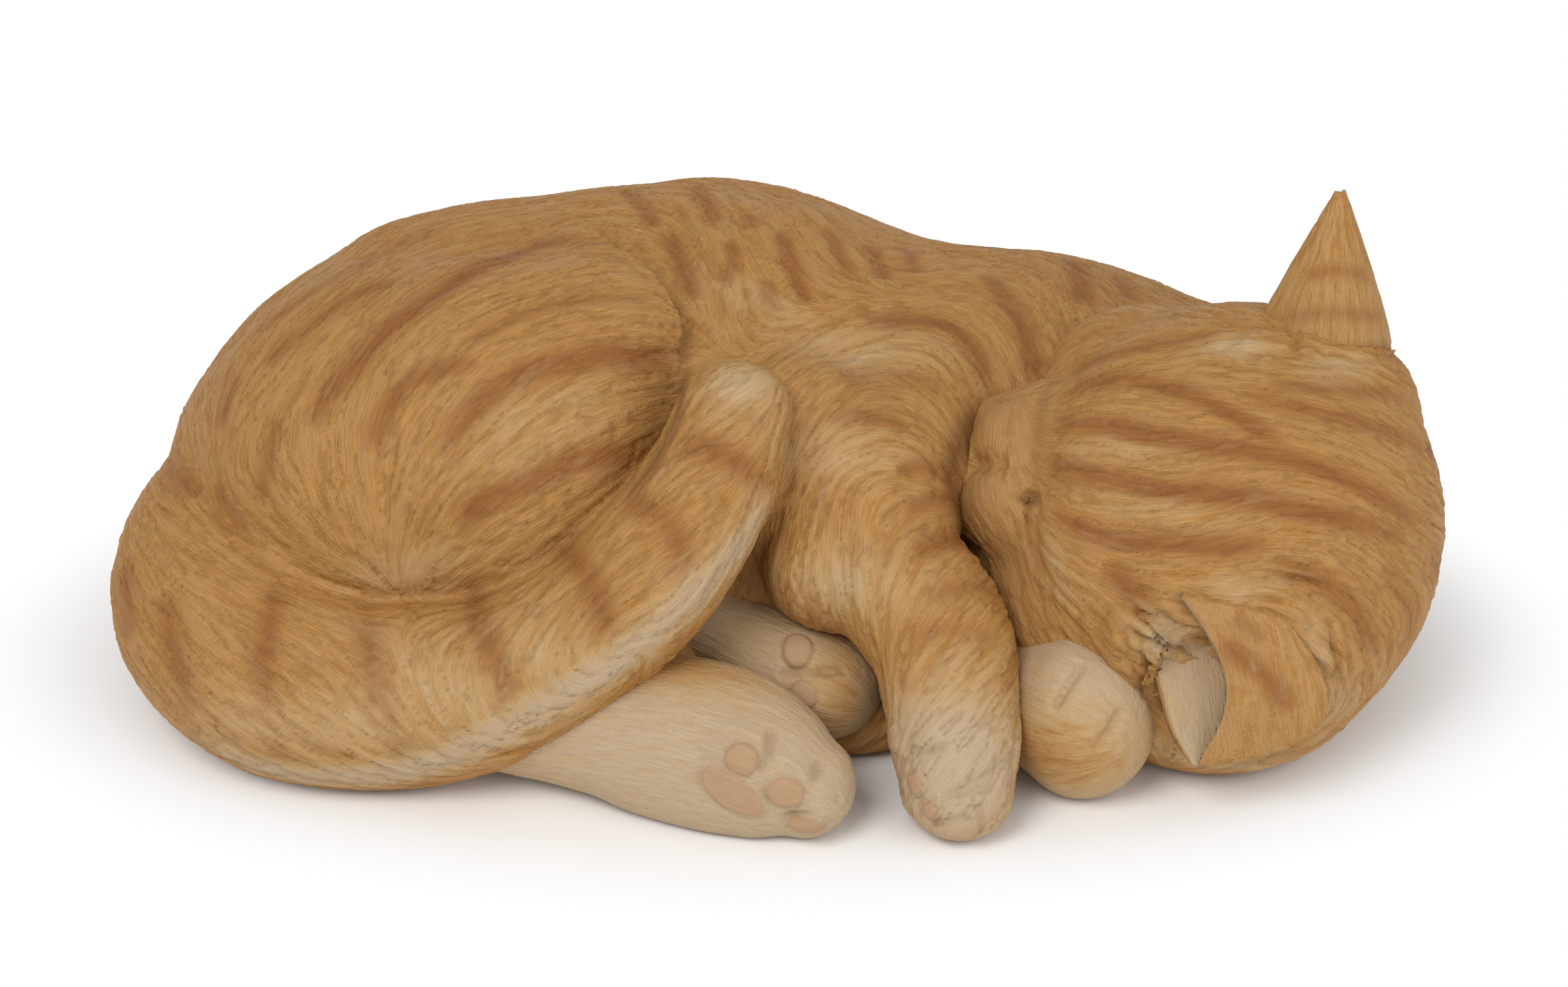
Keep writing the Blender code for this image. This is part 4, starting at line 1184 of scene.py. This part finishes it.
head = make_head()
sculpt_head(head)
paint_head(head)
guides = guides_of(head, HEAD_FUR, HEAD_FUR_BEHIND)
dress(head, guides, HEAD_CARVING, "head_fur", "painted_resin_head", "head_shell")

for ear, place in ((RIGHT_EAR, "right_ear"), (LEFT_EAR, "left_ear")):
    skin = make_ear(ear)
    paint_ear(skin)
    guides = [resample(np.array([ear.base, ear.tip], float), 2.0)]
    dress(skin, guides, EAR_CARVING, place + "_fur", "painted_resin_ear", place)

for place, slot, sculpt, paint, stations, lean in (
    ("left_forepaw", "painted_resin_paw", sculpt_left_fore, paint_left_fore, LEFT_FORE, (0, 0, 1)),
    ("right_hind_foot", "painted_resin_sole", sculpt_right_hind, paint_right_hind, RIGHT_HIND, HIND_SOLE),
    ("left_hind_foot", "painted_resin_paw", sculpt_left_hind, paint_left_hind, LEFT_HIND, (0, 0, 1)),
):
    skin = make_foot(stations, lean)
    sculpt(skin)
    paint(skin)
    dress(skin, [centre_line(stations)], FOOT_CARVING, place + "_fur", slot, place)

resin = plain_material("bare_resin", (0.60, 0.55, 0.47), 90)
felt = plain_material("felt", (0.035, 0.035, 0.038), 900)
for name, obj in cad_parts.items():
    obj.data.materials.clear()
    obj.data.materials.append(felt if name.startswith("felt") else resin)


def seen_directly(tree):
    """1 where the camera sees a surface itself, in a reflection or through glass."""
    rays = node(tree, "LightPath").outputs
    seen = maths(tree, "MAXIMUM", rays["Is Camera Ray"], rays["Is Glossy Ray"])
    return maths(tree, "MAXIMUM", seen, rays["Is Transmission Ray"])


# Half axes of the part of the floor that keeps the shadow, in metres
SHADOW = (0.155, 0.09)


def floor_material():
    """White paper that keeps the figure's shadow and turns into plain white away from it."""
    material = plain_material("floor", (0.97, 0.97, 0.97), 3)
    tree = material.node_tree
    where = node(tree, "TexCoord").outputs["Object"]
    reach = (1 / SHADOW[0], 1 / SHADOW[1], 0)
    where = vector_maths(tree, "MULTIPLY", where, reach)
    far = node(tree, "VectorMath", {0: where}, operation="LENGTH").outputs["Value"]
    share = node(tree, "MapRange", {0: far, 1: 0.9, 2: 1.3}, interpolation_type="SMOOTHSTEP").outputs[0]
    share = maths(tree, "MULTIPLY", share, seen_directly(tree))
    white = node(tree, "Emission", {"Color": (1, 1, 1, 1), "Strength": 1.0}).outputs[0]
    paper = tree.nodes["Principled BSDF"].outputs[0]
    mix = node(tree, "MixShader", {0: share, 1: paper, 2: white})
    tree.links.new(mix.outputs[0], tree.nodes["Material Output"].inputs["Surface"])
    return material


def make_floor():
    mesh = bpy.data.meshes.new("floor")
    corners = [(8 * x, 8 * y, 0) for x, y in ((-1, -1), (1, -1), (1, 1), (-1, 1))]
    mesh.from_pydata(corners, [], [(0, 1, 2, 3)])
    mesh.materials.append(floor_material())
    floor = put_in_scene("floor", mesh)


def make_lamp(name, place, size, power):
    light = bpy.data.lights.new(name, "AREA")
    light.shape = "DISK"
    light.size = size
    light.energy = power
    lamp = put_in_scene(name, light)
    lamp.location = place
    lamp.rotation_euler = (Vector((0, 0, 0.04)) - Vector(place)).to_track_quat("-Z", "Y").to_euler()


def make_studio():
    make_floor()
    make_lamp("key", (-0.6, -0.9, 1.3), 0.9, 12)
    make_lamp("fill", (1.0, -0.9, 0.7), 1.2, 6.5)
    world = bpy.data.worlds.new("studio")
    world.use_nodes = True
    bpy.context.scene.world = world
    tree = world.node_tree
    tree.nodes.clear()
    light = node(tree, "Background", {"Color": (1, 1, 1, 1), "Strength": 0.5})
    backdrop = node(tree, "Background", {"Color": (1, 1, 1, 1), "Strength": 1.0})
    mix = node(tree, "MixShader", {0: seen_directly(tree), 1: light.outputs[0], 2: backdrop.outputs[0]})
    node(tree, "OutputWorld", {"Surface": mix.outputs[0]})
    bpy.context.scene.view_settings.view_transform = "Standard"


def make_camera():
    camera = bpy.data.cameras.new("camera")
    camera.lens = LENS
    camera.sensor_width = SENSOR
    camera.clip_start = 0.05
    holder = put_in_scene("camera", camera)
    holder.location = (CAMERA + SHIFT) * MM
    holder.rotation_euler = Vector(-BACK).to_track_quat("-Z", "Y").to_euler()
    bpy.context.scene.camera = holder


make_studio()
make_camera()
